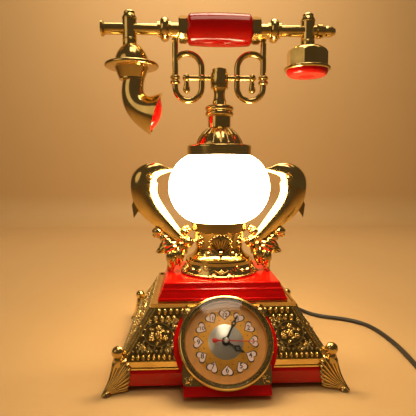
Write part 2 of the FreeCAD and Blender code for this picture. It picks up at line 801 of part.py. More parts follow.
def build_cradle():
    z = collar_top - post_sunk
    post = turned(
        (0, z), (post_radius, z), (post_radius, collar_top + hook_travel + 1),
        (post_radius - 1.4, collar_top + post_height * 0.55, post_radius, hub_bottom - 2),
        (hub_radius + 0.6, hub_bottom - 2), (hub_radius + 0.6, hub_bottom),
        (hub_radius, hub_bottom), (hub_radius + 0.8, crossbar_z, hub_radius, hub_bottom + hub_height * 0.7),
        (hub_radius - 1.2, hub_bottom + hub_height * 0.7), (hub_radius - 1.2, hub_bottom + hub_height - 2.5),
        crown(hub_radius - 1.2, hub_bottom + hub_height - 2.5, hub_bottom + hub_height),
    )
    joint_x = saddle_x - 2 * loop_bend_radius
    meet = joint_x - loop_tube_radius - 1.2
    bar = rod(V(-meet, 0, crossbar_z), V(meet, 0, crossbar_z), crossbar_radius)
    parts["cradle_post"] = joined([post, bar])

    tube = loop_tube_radius
    low = crossbar_z - loop_straight / 2
    high = crossbar_z + loop_straight / 2
    out_x, in_x, mid_x = saddle_x, joint_x, saddle_x - loop_bend_radius
    curl = loop_bend_radius * loop_curl
    saddle_inner = spool_radius + seat_gap
    saddle_outer = saddle_inner + saddle_wall
    leg_top = V(out_x, 0, rod_height - saddle_inner - saddle_wall / 2)
    close = math.radians(180 - loop_curl_turn)
    curl_end = V(in_x + curl + curl * math.cos(close), 0, high + curl * math.sin(close))
    leg_foot, inner_foot, inner_top = V(out_x, 0, low), V(in_x, 0, low), V(in_x, 0, high)
    path = Part.Wire([
        Part.LineSegment(leg_top, leg_foot).toShape(),
        Part.Arc(leg_foot, V(mid_x, 0, low - loop_bend_radius), inner_foot).toShape(),
        Part.LineSegment(inner_foot, inner_top).toShape(),
    ])
    over = Part.Wire([Part.Arc(inner_top, V(in_x + curl, 0, high + curl), curl_end).toShape()])
    section = Part.Wire(Part.makeCircle(tube, leg_top, Z))
    pieces = [
        path.makePipeShell([section], True, False),
        over.makePipeShell([Part.Wire(Part.makeCircle(tube, inner_top, Z))], True, False),
        Part.makeSphere(tube * 1.35, V(in_x, 0, crossbar_z)),
        rod(V(meet, 0, crossbar_z), V(crossbar_half, 0, crossbar_z), crossbar_radius),
    ]
    for rise in (0.0, tube * 1.6):
        pieces.append(Part.makeTorus(tube, tube * 0.72, V(out_x, 0, low + loop_straight * 0.25 + rise), Z))
    drop = crossbar_radius
    pieces.append(Part.makeSphere(drop * 1.4, V(crossbar_half, 0, crossbar_z)))
    drop_top = V(crossbar_half, 0, crossbar_z - drop)
    pieces.append(Part.makeCone(drop * 0.7, drop * 1.3, drop * 3.2, drop_top, V(0, 0, -1)))
    pieces.append(Part.makeSphere(drop * 1.3, V(crossbar_half, 0, crossbar_z - drop * 4.2)))
    yoke = Part.makeCylinder(saddle_outer, saddle_width, V(out_x - saddle_width / 2, 0, rod_height), X)
    span = 4 * saddle_outer
    upper = Part.makeBox(span, span, span, V(out_x - span / 2, -span / 2, rod_height))
    pieces.append(yoke.cut(upper))
    trough = Part.makeCylinder(saddle_inner, 4 * saddle_width, V(out_x - 2 * saddle_width, 0, rod_height), X)
    loop = joined(pieces).cut(trough)
    parts["cradle_loop_right"] = loop
    other = loop.copy()
    other.rotate(V(0, 0, 0), Z, 180)
    parts["cradle_loop_left"] = other


def horn_sections(inset, first):
    """Circles along the bent axis of the horn, from its throat to its mouth."""
    throat_z = rod_height - sleeve_down - mouth_dome_height - mouth_disc_thick - mouth_cone_height
    tilt = math.radians(horn_tip_tilt)
    path = [
        (-hub_x + 4.0, throat_z, 0.0, horn_throat_radius),
        (-hub_x + 2.6, throat_z - 9.0, 0.02, horn_throat_radius * 1.03),
        (-hub_x + 4.0, throat_z - 20.0, 0.38, horn_throat_radius * 1.14),
        (-hub_x + 11.5, throat_z - 30.5, 0.85, horn_throat_radius * 1.42),
        (-hub_x + 20.0, throat_z - 35.0, 1.12, horn_throat_radius * 1.74),
        (-hub_x + 28.5, throat_z - 38.0, math.pi / 2 - tilt, horn_mouth_radius),
    ]
    wires = []
    for x, z, turn, radius in path[first:]:
        heading = V(math.sin(turn), 0, -math.cos(turn))
        wires.append(Part.Wire(Part.makeCircle(radius - inset, V(x, 0, z), heading)))
    x, z, turn, _ = path[-1]
    return wires, V(x, 0, z), V(math.sin(turn), 0, -math.cos(turn))


def build_handset():
    bore = rod_radius + running_gap
    shoulder = grip_half - grip_round
    brow = grip_half - 0.3 * grip_round
    rim = grip_end_radius - grip_round
    brow_radius = grip_end_radius - 0.3 * grip_round
    barrel = turned(
        (bore, -grip_half), (rim, -grip_half), (brow_radius, -brow, grip_end_radius, -shoulder),
        (grip_radius, 0, grip_end_radius, shoulder), (brow_radius, brow, rim, grip_half), (bore, grip_half),
    )
    parts["grip"] = along_x(barrel, 0, rod_height)

    end = handset_half
    flare = 2.2
    tube_end = hub_x
    tube = turned(
        (rod_bore, 0), (rod_radius + flare, 0), (rod_radius + flare, flare),
        (rod_radius, 2 * flare), (rod_radius, end + tube_end), (rod_bore, end + tube_end),
    )
    parts["handset_tube"] = along_x(tube, -end, rod_height)

    hexes, knobs = [], []
    for flip in (False, True):
        prism = Part.Face(hexagon(hex_flats)).extrude(V(0, 0, hex_width))
        bevel = turned(
            (0, 0), (hex_flats * 0.5, 0), (hex_flats * 0.58, hex_width * 0.2),
            (hex_flats * 0.58, hex_width * 0.8), (hex_flats * 0.5, hex_width), (0, hex_width),
        )
        spool_end = knob_start - grip_half
        spool = Part.makeCylinder(spool_radius, spool_end)
        collar = joined([prism.common(bevel), spool]).cut(Part.makeCylinder(bore, 100))
        collar = along_x(collar, grip_half, rod_height)
        w = knob_width
        knob = turned(
            (bore, 0), (knob_radius * 0.66, 0), (knob_radius * 0.66, w * 0.16), (knob_radius * 0.8, w * 0.16),
            (knob_radius, w * 0.47, knob_radius * 0.8, w * 0.78), (knob_radius * 0.64, w * 0.78),
            (knob_radius * 0.64, w), (bore, w),
        )
        knob = along_x(knob, knob_start, rod_height)
        hexes.append(mirrored(collar) if flip else collar)
        knobs.append(mirrored(knob) if flip else knob)
    parts["grip_collars"] = Part.makeCompound(hexes)
    parts["rod_knobs"] = Part.makeCompound(knobs)

    rod_hole = rod(V(-200, 0, rod_height), V(tube_end, 0, rod_height), bore)
    top = rod_height + sleeve_up
    finial = turned(
        (0, top - 1), (finial_radius * 0.6, top - 1), (finial_radius * 0.6, top + finial_height * 0.2),
        (finial_radius, top + finial_height * 0.2),
        (finial_radius, top + finial_height * 0.7),
        crown(finial_radius, top + finial_height * 0.7, top + finial_height),
    )
    bottom = rod_height - sleeve_down
    sleeve = Part.makeCylinder(sleeve_radius, top - bottom, V(0, 0, bottom))
    hub = joined([sleeve, finial])
    parts["mouth_hub"] = moved(hub, -hub_x, 0, 0).cut(rod_hole)
    tip = end - hub_x
    nose = turned(
        (0, 0), (rod_radius, 0), (rod_radius, tip * 0.3),
        (sleeve_radius, tip * 0.34), (sleeve_radius, tip * 0.5),
        (rod_radius * 0.8, tip * 0.56), (rod_radius, tip * 0.78, rod_radius * 0.62, tip * 0.95), (0, tip),
    )
    ear_hub = joined([moved(hub, hub_x, 0, 0), along_x(nose, hub_x, rod_height)])
    parts["ear_hub"] = ear_hub.cut(rod_hole)

    disc_top = bottom - mouth_dome_height
    disc_bottom = disc_top - mouth_disc_thick
    throat_z = disc_bottom - mouth_cone_height
    edge = mouth_disc_thick / 2
    throat_lip = horn_throat_radius + 2.4
    dome = turned(
        (0, bottom), (sleeve_radius + 1, bottom),
        (mouth_dome_radius * 0.8, bottom - mouth_dome_height * 0.35, mouth_dome_radius, disc_top),
        (mouth_disc_radius - edge, disc_top),
        (mouth_disc_radius, disc_top - edge, mouth_disc_radius - edge, disc_bottom),
        (mouth_dome_radius, disc_bottom), (throat_lip, throat_z + 1.5), (throat_lip, throat_z), (0, throat_z),
    )
    parts["mouth_dome"] = moved(dome, -hub_x + 2.0, 0, 0)
    wires, mouth, heading = horn_sections(0.0, 0)
    horn = Part.makeLoft(wires, True, False)
    inner, _, _ = horn_sections(horn_wall, 2)
    parts["mouth_horn"] = horn.cut(Part.makeLoft(inner, True, False))
    insert_radius = horn_mouth_radius - horn_wall - 2.6
    insert = turned(
        (0, -9.0), (insert_radius - 3.4, -9.0), (insert_radius - 1.4, -6.0), (insert_radius + 0.6, 0),
        crown(insert_radius + 0.6, 0, insert_rise),
    )
    lay = FreeCAD.Rotation(Z, heading)
    insert.Placement = FreeCAD.Placement(mouth - heading * 1.2, lay)
    parts["mouth_insert"] = insert.cut(parts["mouth_horn"])

    cup_top = bottom
    cup_bottom = cup_top - ear_cup_height
    prism = Part.Face(polygon_ring(ear_cup_radius, ear_sides, 0.5)).extrude(V(0, 0, ear_cup_height))
    prism.translate(V(0, 0, cup_bottom))
    ear_crown = turned(
        (0, cup_bottom), (ear_cup_radius + 1, cup_bottom),
        (ear_cup_radius + 1, cup_top - ear_cup_height * 0.5),
        (ear_cup_radius * 0.9, cup_top - ear_cup_height * 0.14, sleeve_radius + 2, cup_top), (0, cup_top),
    )
    flange_bottom = cup_bottom - ear_flange_thick
    half = ear_flange_thick / 2
    flange = turned(
        (0, flange_bottom), (ear_flange_radius - half, flange_bottom),
        (ear_flange_radius, flange_bottom + half, ear_flange_radius - half, cup_bottom), (0, cup_bottom),
    )
    capsule_radius = ear_cup_radius - 2 * ear_wall
    capsule_height = ear_cup_height * 0.5
    chamber = Part.makeCylinder(capsule_radius + seat_gap, capsule_height, V(0, 0, flange_bottom))
    cup = joined([prism.common(ear_crown), flange]).cut(chamber)
    parts["ear_cup"] = moved(cup, hub_x, 0, 0)
    parts["receiver_capsule"] = Part.makeCylinder(capsule_radius, capsule_height, V(hub_x, 0, flange_bottom))
    pad_bottom = flange_bottom - ear_pad_thick
    pad = turned(
        (0, flange_bottom), (ear_pad_radius, flange_bottom),
        (ear_pad_radius - 0.3 * ear_pad_taper, pad_bottom + 0.3 * ear_pad_thick,
         ear_pad_radius - ear_pad_taper, pad_bottom),
        (ear_pad_radius * 0.45, pad_bottom),
        crown(ear_pad_radius * 0.45, pad_bottom, pad_bottom + 0.35 * ear_pad_thick),
    )
    parts["ear_pad"] = moved(pad, hub_x, 0, 0)


def clock_hand(outline, eye, z, pipe_radius, pipe_bore, foot_z, turn):
    """A flat hand on its own pipe, turned to the time it shows. The outline is the right half, point up.
    An eye is a hole through the blade: how far up it is, and its radius."""
    left = [(-x, y) for x, y in reversed(outline) if x > 0]
    corners = [V(x, y, z) for x, y in outline + left]
    blade = Part.Face(Part.makePolygon(corners + corners[:1])).extrude(V(0, 0, hand_thick))
    if eye:
        blade = blade.cut(Part.makeCylinder(eye[1], hand_thick, V(0, eye[0], z)))
    boss = Part.makeCylinder(pipe_radius + 1.4, hand_thick, V(0, 0, z))
    pipe = Part.makeCylinder(pipe_radius, z + hand_thick - foot_z, V(0, 0, foot_z))
    hand = joined([blade, boss, pipe])
    if pipe_bore:
        hand = hand.cut(Part.makeCylinder(pipe_bore, 2 * (z - foot_z), V(0, 0, foot_z)))
    hand.rotate(V(0, 0, 0), Z, turn)
    return on_clock(hand)


def build_clock():
    cavity_half = movement_half + seat_gap
    cavity_depth = movement_depth + 1
    cavity_corner = V(-cavity_half, -cavity_half, plate_back - cavity_depth)
    cavity = Part.makeBox(2 * cavity_half, 2 * cavity_half, cavity_depth, cavity_corner)
    parts["clock_case"] = case_outline.cut(on_clock(cavity))

    w, t, b = plate_half, plate_top, plate_bottom
    corners = [V(-w, -b, plate_back), V(w, -b, plate_back), V(w, t, plate_back), V(-w, t, plate_back)]
    plate = Part.Face(Part.makePolygon(corners + corners[:1])).extrude(V(0, 0, plate_thick))
    uprights = [e for e in plate.Edges if e.BoundBox.ZLength > plate_thick * 0.9]
    plate = plate.makeFillet(5.0, uprights)
    plate = plate.cut(Part.makeCylinder(bush_radius + hole_gap, 2 * plate_thick, V(0, 0, plate_back)))
    parts["clock_plate"] = on_clock(plate)

    rebate = bezel_inner_radius + 1.2
    bezel = turned(
        (dial_radius - 1.2, dial_front), (dial_radius + seat_gap, dial_front),
        (dial_radius + seat_gap, plate_front), (bezel_radius, plate_front),
        (bezel_radius, plate_front + bezel_depth * 0.55),
        (bezel_radius - 0.8, -1.0, bezel_radius - 3.0, 0), (rebate, -1.0),
        (rebate, -1.0 - lens_thick), (bezel_inner_radius - 1.6, -1.0 - lens_thick),
    )
    parts["clock_bezel"] = on_clock(bezel)
    low = -1.0 - lens_thick
    edge = rebate - seat_gap
    brim = low + lens_thick
    dome = turned((0, low), (edge, low), (edge, brim), crown(edge, brim, brim + lens_rise))
    under = edge - lens_thick
    lens = dome.cut(turned((0, low), (under, low), crown(under, low, low + lens_rise)))
    parts["clock_lens"] = on_clock(lens)

    dial = Part.makeCylinder(dial_radius, dial_thick, V(0, 0, plate_front))
    dial = dial.cut(Part.makeCylinder(bush_radius + hole_gap, 2 * dial_thick, V(0, 0, plate_front)))
    parts["clock_dial"] = on_clock(dial)

    m = movement_half
    movement = Part.makeBox(2 * m, 2 * m, movement_depth, V(-m, -m, plate_back - movement_depth))
    bush = Part.makeCylinder(bush_radius, plate_thick + dial_thick + 0.4, V(0, 0, plate_back))
    movement = joined([movement, bush])
    steps = ((hour_pipe_radius, 3.0), (minute_pipe_radius, 4.0), (second_pin_radius, 5.0))
    for radius, depth in steps:
        bore = Part.makeCylinder(radius + running_gap, depth + bezel_depth, V(0, 0, plate_back - depth))
        movement = movement.cut(bore)
    parts["clock_movement"] = on_clock(movement)

    hour_z = dial_front + hand_step
    h, m, w = hour_hand_length, minute_hand_length, second_hand_length
    hour = [(1.6, 0), (0.9, h * 0.3), (0.9, h * 0.42), (3.4, h * 0.62), (0.9, h * 0.8), (1.4, h * 0.86), (0, h)]
    minute = [(1.4, 0), (0.8, m * 0.5), (2.5, m * 0.66), (0.7, m * 0.8), (1.2, m * 0.86), (0, m)]
    second = [(1.6, -w * 0.32), (0.5, -w * 0.2), (0.35, w * 0.9), (0.1, w)]
    rest = plate_back + running_gap

    parts["hour_hand"] = clock_hand(
        hour, (h * 0.62, 1.5), hour_z, hour_pipe_radius, minute_pipe_radius + running_gap, rest - 3.0, hour_turn
    )
    parts["minute_hand"] = clock_hand(
        minute, (m * 0.66, 1.1), hour_z + hand_step,
        minute_pipe_radius, second_pin_radius + running_gap, rest - 4.0, minute_turn,
    )
    parts["second_hand"] = clock_hand(
        second, None, hour_z + 2 * hand_step, second_pin_radius, 0, rest - 5.0, second_turn
    )


def lead_path(points):
    """Straight runs joined by tangent arcs, each arc as large as its two runs allow."""
    points = [V(*p) for p in points]
    edges, radii, length = [], [], 0.0
    here = points[0]
    for before, corner, after in zip(points, points[1:], points[2:]):
        into, out = corner - before, after - corner
        turn = into.getAngle(out)
        reach = 0.45 * min(into.Length, out.Length)
        radius = reach / math.tan(turn / 2)
        into.normalize()
        out.normalize()
        start, end = corner - into * reach, corner + out * reach
        inward = out - into
        inward.normalize()
        middle = corner + inward * (radius / math.cos(turn / 2) - radius)
        edges.append(Part.LineSegment(here, start).toShape())
        edges.append(Part.Arc(start, middle, end).toShape())
        length += (start - here).Length + radius * turn
        radii.append(round(radius, 1))
        here = end
    edges.append(Part.LineSegment(here, points[-1]).toShape())
    length += (points[-1] - here).Length
    return Part.Wire(edges), radii, length


def build_lead():
    wire, radii, length = lead_path(lead_route)
    start, heading = V(*lead_route[0]), V(*lead_route[1]) - V(*lead_route[0])
    section = Part.Wire(Part.makeCircle(lead_radius, start, heading))
    tube = wire.makePipeShell([section], True, False)
    parts["lead_tube"] = tube
    area = math.pi * lead_radius ** 2
    print("lead radii", radii, "length", round(length, 1))
    print("lead volume ratio", round(tube.Volume / area / length, 4))

    half = coil_turns_across * lead_diameter / 2
    x, y = coil_centre
    ring = Part.makeCylinder(coil_mid_radius + half, coil_layers * lead_diameter, V(x, y, 0))
    parts["lead_coil"] = ring.cut(Part.makeCylinder(coil_mid_radius - half, 50, V(x, y, -10)))

    wall_y = plinth_depth / 2
    flange = 2.0
    gland = turned(
        (0, -plinth_wall), (gland_radius, -plinth_wall), (gland_radius, 0), (gland_radius + 2, 0),
        (gland_radius + 2, flange), (gland_radius, flange),
        (lead_radius + 1.0, gland_length), (0, gland_length),
    )
    gland.rotate(V(0, 0, 0), X, -90)
    parts["lead_gland"] = moved(gland, gland_x, wall_y, gland_height)

    axis_z = 1.5 * lead_diameter
    sleeve = Part.makeCone(lead_radius + 0.6, lead_radius + 2.6, plug_sleeve_length, V(0, 0, 0), X)
    w = plug_half_width
    shoulder = plug_sleeve_length + plug_body_length * 0.35
    body_end = plug_sleeve_length + plug_body_length
    outline = [
        V(plug_sleeve_length, -w * 0.55, -axis_z), V(shoulder, -w, -axis_z), V(body_end, -w, -axis_z),
        V(body_end, w, -axis_z), V(shoulder, w, -axis_z), V(plug_sleeve_length, w * 0.55, -axis_z),
    ]
    body = Part.Face(Part.makePolygon(outline + outline[:1])).extrude(V(0, 0, 2 * axis_z))
    body = body.makeFillet(2.0, body.Edges)
    pin_y = plug_pin_spacing / 2
    pins = [
        Part.makeCylinder(plug_pin_radius, plug_pin_length + 4, V(body_end - 4, side * pin_y, 0), X)
        for side in (-1, 1)
    ]
    plug = joined([sleeve, body] + pins)
    plug.rotate(V(0, 0, 0), Z, plug_turn)
    parts["lead_plug"] = moved(plug, x - 4.0, y - coil_mid_radius - half + lead_radius, axis_z)


build_base()
build_panels()
build_feet()
build_stepped_cap()
build_column()
build_dolphins()
build_cradle()
build_handset()
build_clock()
build_lead()

# The origin is the bottom centre of the object's own box, without its lead
cord_parts = ("lead_tube", "lead_coil", "lead_plug", "lead_gland")
box = FreeCAD.BoundBox()
for name, shape in parts.items():
    if name not in cord_parts:
        box.add(shape.optimalBoundingBox(False, False))
origin_shift = V(-box.Center.x, -box.Center.y, -box.ZMin)
print("shift", origin_shift, "size", box.XLength, box.YLength, box.ZLength)

os.makedirs("parts", exist_ok=True)
for name, shape in parts.items():
    shape.translate(origin_shift)
    shape.exportStep("parts/" + name + ".step")
print(len(parts), "parts")
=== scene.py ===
# %% [markdown]
# A table lamp and clock in the form of an old cradle telephone.
# The solids of the lamp are loaded as a fixed frame, so every piece made here goes where the frame says.

# %% Load the frame
import json
import math
import bpy
from mathutils import Matrix, Vector


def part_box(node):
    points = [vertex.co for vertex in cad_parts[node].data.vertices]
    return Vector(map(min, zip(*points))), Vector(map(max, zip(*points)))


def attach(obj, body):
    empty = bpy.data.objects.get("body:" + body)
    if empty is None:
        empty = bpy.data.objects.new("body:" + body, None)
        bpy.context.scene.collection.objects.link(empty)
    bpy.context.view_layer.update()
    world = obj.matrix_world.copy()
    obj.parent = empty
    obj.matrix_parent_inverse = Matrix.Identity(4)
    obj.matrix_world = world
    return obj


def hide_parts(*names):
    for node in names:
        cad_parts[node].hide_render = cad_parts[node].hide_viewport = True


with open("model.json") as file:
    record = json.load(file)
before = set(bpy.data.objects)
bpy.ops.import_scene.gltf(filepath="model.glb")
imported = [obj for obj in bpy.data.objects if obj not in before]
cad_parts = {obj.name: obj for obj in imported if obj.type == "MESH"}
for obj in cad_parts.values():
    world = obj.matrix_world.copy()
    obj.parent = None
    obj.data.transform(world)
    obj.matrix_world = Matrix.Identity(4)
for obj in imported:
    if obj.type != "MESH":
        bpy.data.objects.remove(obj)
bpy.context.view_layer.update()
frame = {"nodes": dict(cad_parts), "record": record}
nodes = frame["nodes"]
mm = 0.001

# %% [markdown]
# The camera stands low, in front of the clock and a little to its left.
# Its place and lens come from the edges of the base, which we know in millimetres.
# A camera looks along its own -Z, so a level view is a quarter turn about X,
# less the angle that it looks down.

# %% Camera
column_y = (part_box("globe")[0][1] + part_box("globe")[1][1]) / 2
camera_place = Vector((-36.0, -508.4, 211.1)) * mm + Vector((0, column_y, 0))
camera_yaw = math.radians(2.59)
camera_dip = math.radians(4.82)
camera_lens_mm = 37.83

bpy.ops.object.select_all(action="DESELECT")
bpy.ops.object.camera_add(location=camera_place, rotation=(math.pi / 2 - camera_dip, 0, -camera_yaw))
camera = bpy.context.object
camera.data.lens = camera_lens_mm
camera.data.sensor_width = 36.0
camera.data.clip_start = 0.01
bpy.context.scene.camera = camera
print("camera at", tuple(round(c, 3) for c in camera.location))

# %% [markdown]
# The mains lead leaves a gland at the back, lies on the table and goes out of view on the right.
# A flexible lead has no corners, so its route is a smooth spline whose control points are listed.
# The rest of the 1.8 m is wound up as for storage. A loop works out the turns: four on the table,
# from the outside in, and three in the grooves between them, back out to the plug.

# %% Route and turns of the lead
lead_radius = 2.8
lead_route = [
    (50.0, 127.0, 12.5), (52.0, 147.0, 9.0), (62.0, 165.0, 4.6), (82.0, 174.0, 2.8), (103.0, 168.0, 2.8),
    (119.0, 152.0, 2.8), (131.5, 131.0, 2.8), (142.0, 109.0, 2.8), (158.0, 96.0, 2.8), (178.0, 88.0, 2.8),
    (195.0, 76.0, 2.8), (206.0, 60.0, 2.8), (211.0, 40.0, 2.8), (213.0, 18.0, 2.8), (213.5, -6.0, 2.8),
    (212.0, -30.0, 2.8), (209.5, -54.0, 2.8), (206.0, -78.0, 2.8), (204.6, -98.0, 2.8),
]
coil_centre = (244.0, -108.0)
coil_radii = [39.4, 33.8, 28.2, 22.6, 25.4, 31.0, 36.6, 39.4]
coil_heights = [2.8, 2.8, 2.8, 2.8, 7.65, 7.65, 7.65, 8.4]
coil_start = math.radians(178.0)
coil_end = math.radians(262.0) + 7 * 2 * math.pi
points_per_turn = 16
step_over_from = 0.7
plug_entry = (240.0, -147.4, 8.4)


def coil_points():
    """Control points of the wound turns. Each turn keeps its radius, then steps over to the next."""
    step = 2 * math.pi / points_per_turn
    outward = 1 / math.cos(math.pi / points_per_turn)
    count = int((coil_end - coil_start) / step)
    points = []
    for i in range(count + 1):
        turns = i / points_per_turn
        this = min(int(turns), len(coil_radii) - 2)
        change = min(max((turns - this - step_over_from) / (1 - step_over_from), 0.0), 1.0)
        change = change * change * (3 - 2 * change)
        radius = coil_radii[this] + change * (coil_radii[this + 1] - coil_radii[this])
        height = coil_heights[this] + change * (coil_heights[this + 1] - coil_heights[this])
        angle = coil_start + i * step
        x = coil_centre[0] + outward * radius * math.cos(angle)
        y = coil_centre[1] + outward * radius * math.sin(angle)
        points.append((x, y, height))
    return points


lead_points = [
    (x * mm, y * mm + column_y, z * mm) for x, y, z in lead_route + coil_points() + [plug_entry]
]
print("lead control points", len(lead_points))

# %% [markdown]
# A curve with a round bevel is a tube that follows its spline, and its radius can differ at each control
# point. The lead keeps one radius. The same helper makes the tapered curls and ribs further on.

# %% Mains lead


def spline_curve(name, points, sizes):
    """A round tube along one smooth open spline: control points and the tube's radius at each, in metres."""
    data = bpy.data.curves.new(name, "CURVE")
    data.dimensions = "3D"
    data.resolution_u = 6
    data.bevel_depth = 1.0
    data.bevel_resolution = 3
    data.use_fill_caps = True
    spline = data.splines.new("NURBS")
    spline.points.add(len(points) - 1)
    for point, place, size in zip(spline.points, points, sizes):
        point.co = (*place, 1.0)
        point.radius = size
    spline.order_u = 3
    spline.use_endpoint_u = True
    curve = bpy.data.objects.new(name, data)
    bpy.context.collection.objects.link(curve)
    return curve


lead = spline_curve("mains_lead", lead_points, [lead_radius * mm] * len(lead_points))
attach(lead, "base")
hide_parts("lead_tube", "lead_coil")

# %% [markdown]
# The lamp stands on a plain pale table with a plain pale wall behind it. Neither is part of the lamp.
# One sheet makes both: a plane whose back edge is pulled up, with a wide bevel in the corner.

# %% Table and wall
floor_half = 2.0
wall_distance = 1.25
wall_height = 1.6
corner_round = 0.12


def deselect():
    if bpy.context.object and bpy.context.object.mode != "OBJECT":
        bpy.ops.object.mode_set(mode="OBJECT")
    bpy.ops.object.select_all(action="DESELECT")


def make_active(obj):
    deselect()
    obj.select_set(True)
    bpy.context.view_layer.objects.active = obj


def apply_place():
    """Puts the active object's place, turn and scale into its mesh."""
    bpy.ops.object.transform_apply(location=True, rotation=True, scale=True)


def select_vertices(obj, test):
    """In edit mode, selects the vertices whose place passes the test, and nothing else."""
    bpy.ops.mesh.select_mode(type="VERT")
    bpy.ops.mesh.select_all(action="DESELECT")
    bpy.ops.object.mode_set(mode="OBJECT")
    for vertex in obj.data.vertices:
        vertex.select = test(vertex.co)
    bpy.ops.object.mode_set(mode="EDIT")


deselect()
bpy.ops.mesh.primitive_plane_add(size=2 * floor_half, location=(0, wall_distance - floor_half, 0))
backdrop = bpy.context.object
backdrop.name = "table_and_wall"
apply_place()
bpy.ops.object.mode_set(mode="EDIT")
select_vertices(backdrop, lambda co: co.y > wall_distance - 0.01)
bpy.ops.mesh.extrude_region_move(TRANSFORM_OT_translate={"value": (0, 0, wall_height)})
select_vertices(backdrop, lambda co: co.y > wall_distance - 0.01 and co.z < 0.01)
bpy.ops.mesh.bevel(offset=corner_round, segments=12, affect="EDGES")
make_active(backdrop)
bpy.ops.object.shade_smooth()
print("backdrop faces", len(backdrop.data.polygons))

# %% [markdown]
# The light is a plain soft studio: a lamp above in front, which the clock's lens reflects at its top edge,
# a weaker one on the left, one above and one for the wall. The lit globe adds its own warm light,
# because its material glows. The standard view transform keeps the red and the gold as strong
# as a phone camera shows them.

# %% Studio light
world = bpy.data.worlds.new("studio")
bpy.context.scene.world = world
world.use_nodes = True
room = world.node_tree.nodes["Background"]
room.inputs["Color"].default_value = (1.0, 0.72, 0.42, 1.0)
room.inputs["Strength"].default_value = 0.08
bpy.context.scene.view_settings.view_transform = "Standard"

lamp_aim = (0.0, 0.0, 0.18)
wall_aim = (0.0, wall_distance, 0.40)
soft_lights = [
    ("key_light", (0.03, -0.24, 1.12), lamp_aim, 0.40, 1.8, (1.0, 0.84, 0.60)),
    ("fill_light", (-0.95, -0.60, 0.70), lamp_aim, 0.8, 1.1, (1.0, 0.74, 0.42)),
    ("top_light", (0.35, 0.20, 1.30), lamp_aim, 0.7, 1.4, (1.0, 0.70, 0.34)),
    ("wall_light", (0.0, 0.45, 1.40), wall_aim, 0.9, 13.0, (1.0, 0.82, 0.60)),
]
for name, place, aim, size, power, colour in soft_lights:
    deselect()
    bpy.ops.object.light_add(type="AREA", location=place)
    light = bpy.context.object
    light.name = name
    light.rotation_euler = (Vector(aim) - Vector(place)).to_track_quat("-Z", "Y").to_euler()
    light.data.size = size
    light.data.shape = "SQUARE" if name == "key_light" else "DISK"
    light.data.energy = power
    light.data.color = colour
print("lights", [entry[0] for entry in soft_lights])

# %% [markdown]
# Moulded and plated surfaces are never quite even. One node group gives a soft cloudy mask between 0 and 1,
# and each finish uses it in its own way: for colour, for roughness, or for both.
# It reads Object coordinates, so the pattern stays on the piece when the piece moves.

# %% Shared cloudy mask


def cloudy_mask_group():
    group = bpy.data.node_groups.new("cloudy_mask", "ShaderNodeTree")
    scale = group.interface.new_socket("Scale", in_out="INPUT", socket_type="NodeSocketFloat")
    scale.default_value = 60.0
    group.interface.new_socket("Mask", in_out="OUTPUT", socket_type="NodeSocketFloat")
    inlet = group.nodes.new("NodeGroupInput")
    outlet = group.nodes.new("NodeGroupOutput")
    place = group.nodes.new("ShaderNodeTexCoord")
    noise = group.nodes.new("ShaderNodeTexNoise")
    noise.inputs["Detail"].default_value = 4.0
    ramp = group.nodes.new("ShaderNodeMapRange")
    ramp.inputs["From Min"].default_value = 0.35
    ramp.inputs["From Max"].default_value = 0.68
    group.links.new(place.outputs["Object"], noise.inputs["Vector"])
    group.links.new(inlet.outputs["Scale"], noise.inputs["Scale"])
    group.links.new(noise.outputs["Fac"], ramp.inputs["Value"])
    group.links.new(ramp.outputs["Result"], outlet.inputs["Mask"])
    return group


cloudy_mask = cloudy_mask_group()
print("cloudy mask nodes", len(cloudy_mask.nodes))

# %% [markdown]
# One function makes every finish that drifts a little: its colour and its roughness lie between two values,
# and the mask says where. What is the same all over is set on the shader's own socket. The mix node has
# a set of sockets for each kind of value, so its colour sockets are chosen by their numbers.

# %% Finish from the mask
mix_factor, mix_first, mix_second, mix_result = 0, 6, 7, 2


def plain_material(name, **values):
    """A material with values on its shader's own sockets. A socket's name has _ where Blender has a space."""
    material = bpy.data.materials.new(name)
    material.use_nodes = True
    shader = material.node_tree.nodes["Principled BSDF"]
    for socket, value in values.items():
        shader.inputs[socket.replace("_", " ")].default_value = value
    return material


def finish(name, colour, other_colour, rough, other_rough, cloud_scale, **constants):
    """A material whose colour and roughness drift between two values by the cloudy mask."""
    material = plain_material(name, **constants)
    tree = material.node_tree
    shader = tree.nodes["Principled BSDF"]
    cloud = tree.nodes.new("ShaderNodeGroup")
    cloud.node_tree = cloudy_mask
    cloud.inputs["Scale"].default_value = cloud_scale
    mix = tree.nodes.new("ShaderNodeMix")
    mix.data_type = "RGBA"
    mix.inputs[mix_first].default_value = (*colour, 1.0)
    mix.inputs[mix_second].default_value = (*other_colour, 1.0)
    spread = tree.nodes.new("ShaderNodeMapRange")
    spread.inputs["To Min"].default_value = rough
    spread.inputs["To Max"].default_value = other_rough
    tree.links.new(cloud.outputs["Mask"], mix.inputs[mix_factor])
    tree.links.new(cloud.outputs["Mask"], spread.inputs["Value"])
    tree.links.new(mix.outputs[mix_result], shader.inputs["Base Color"])
    tree.links.new(spread.outputs["Result"], shader.inputs["Roughness"])
    return material


# %% [markdown]
# The finishes. Gold plating on plastic is a mirror with a warm colour, so it is a metal with a low roughness.
# The red mouldings are coloured plastic with a clear shine. The globe is white opal glass with a lamp inside,
# and at this brightness it looks evenly white, so the glass itself glows.

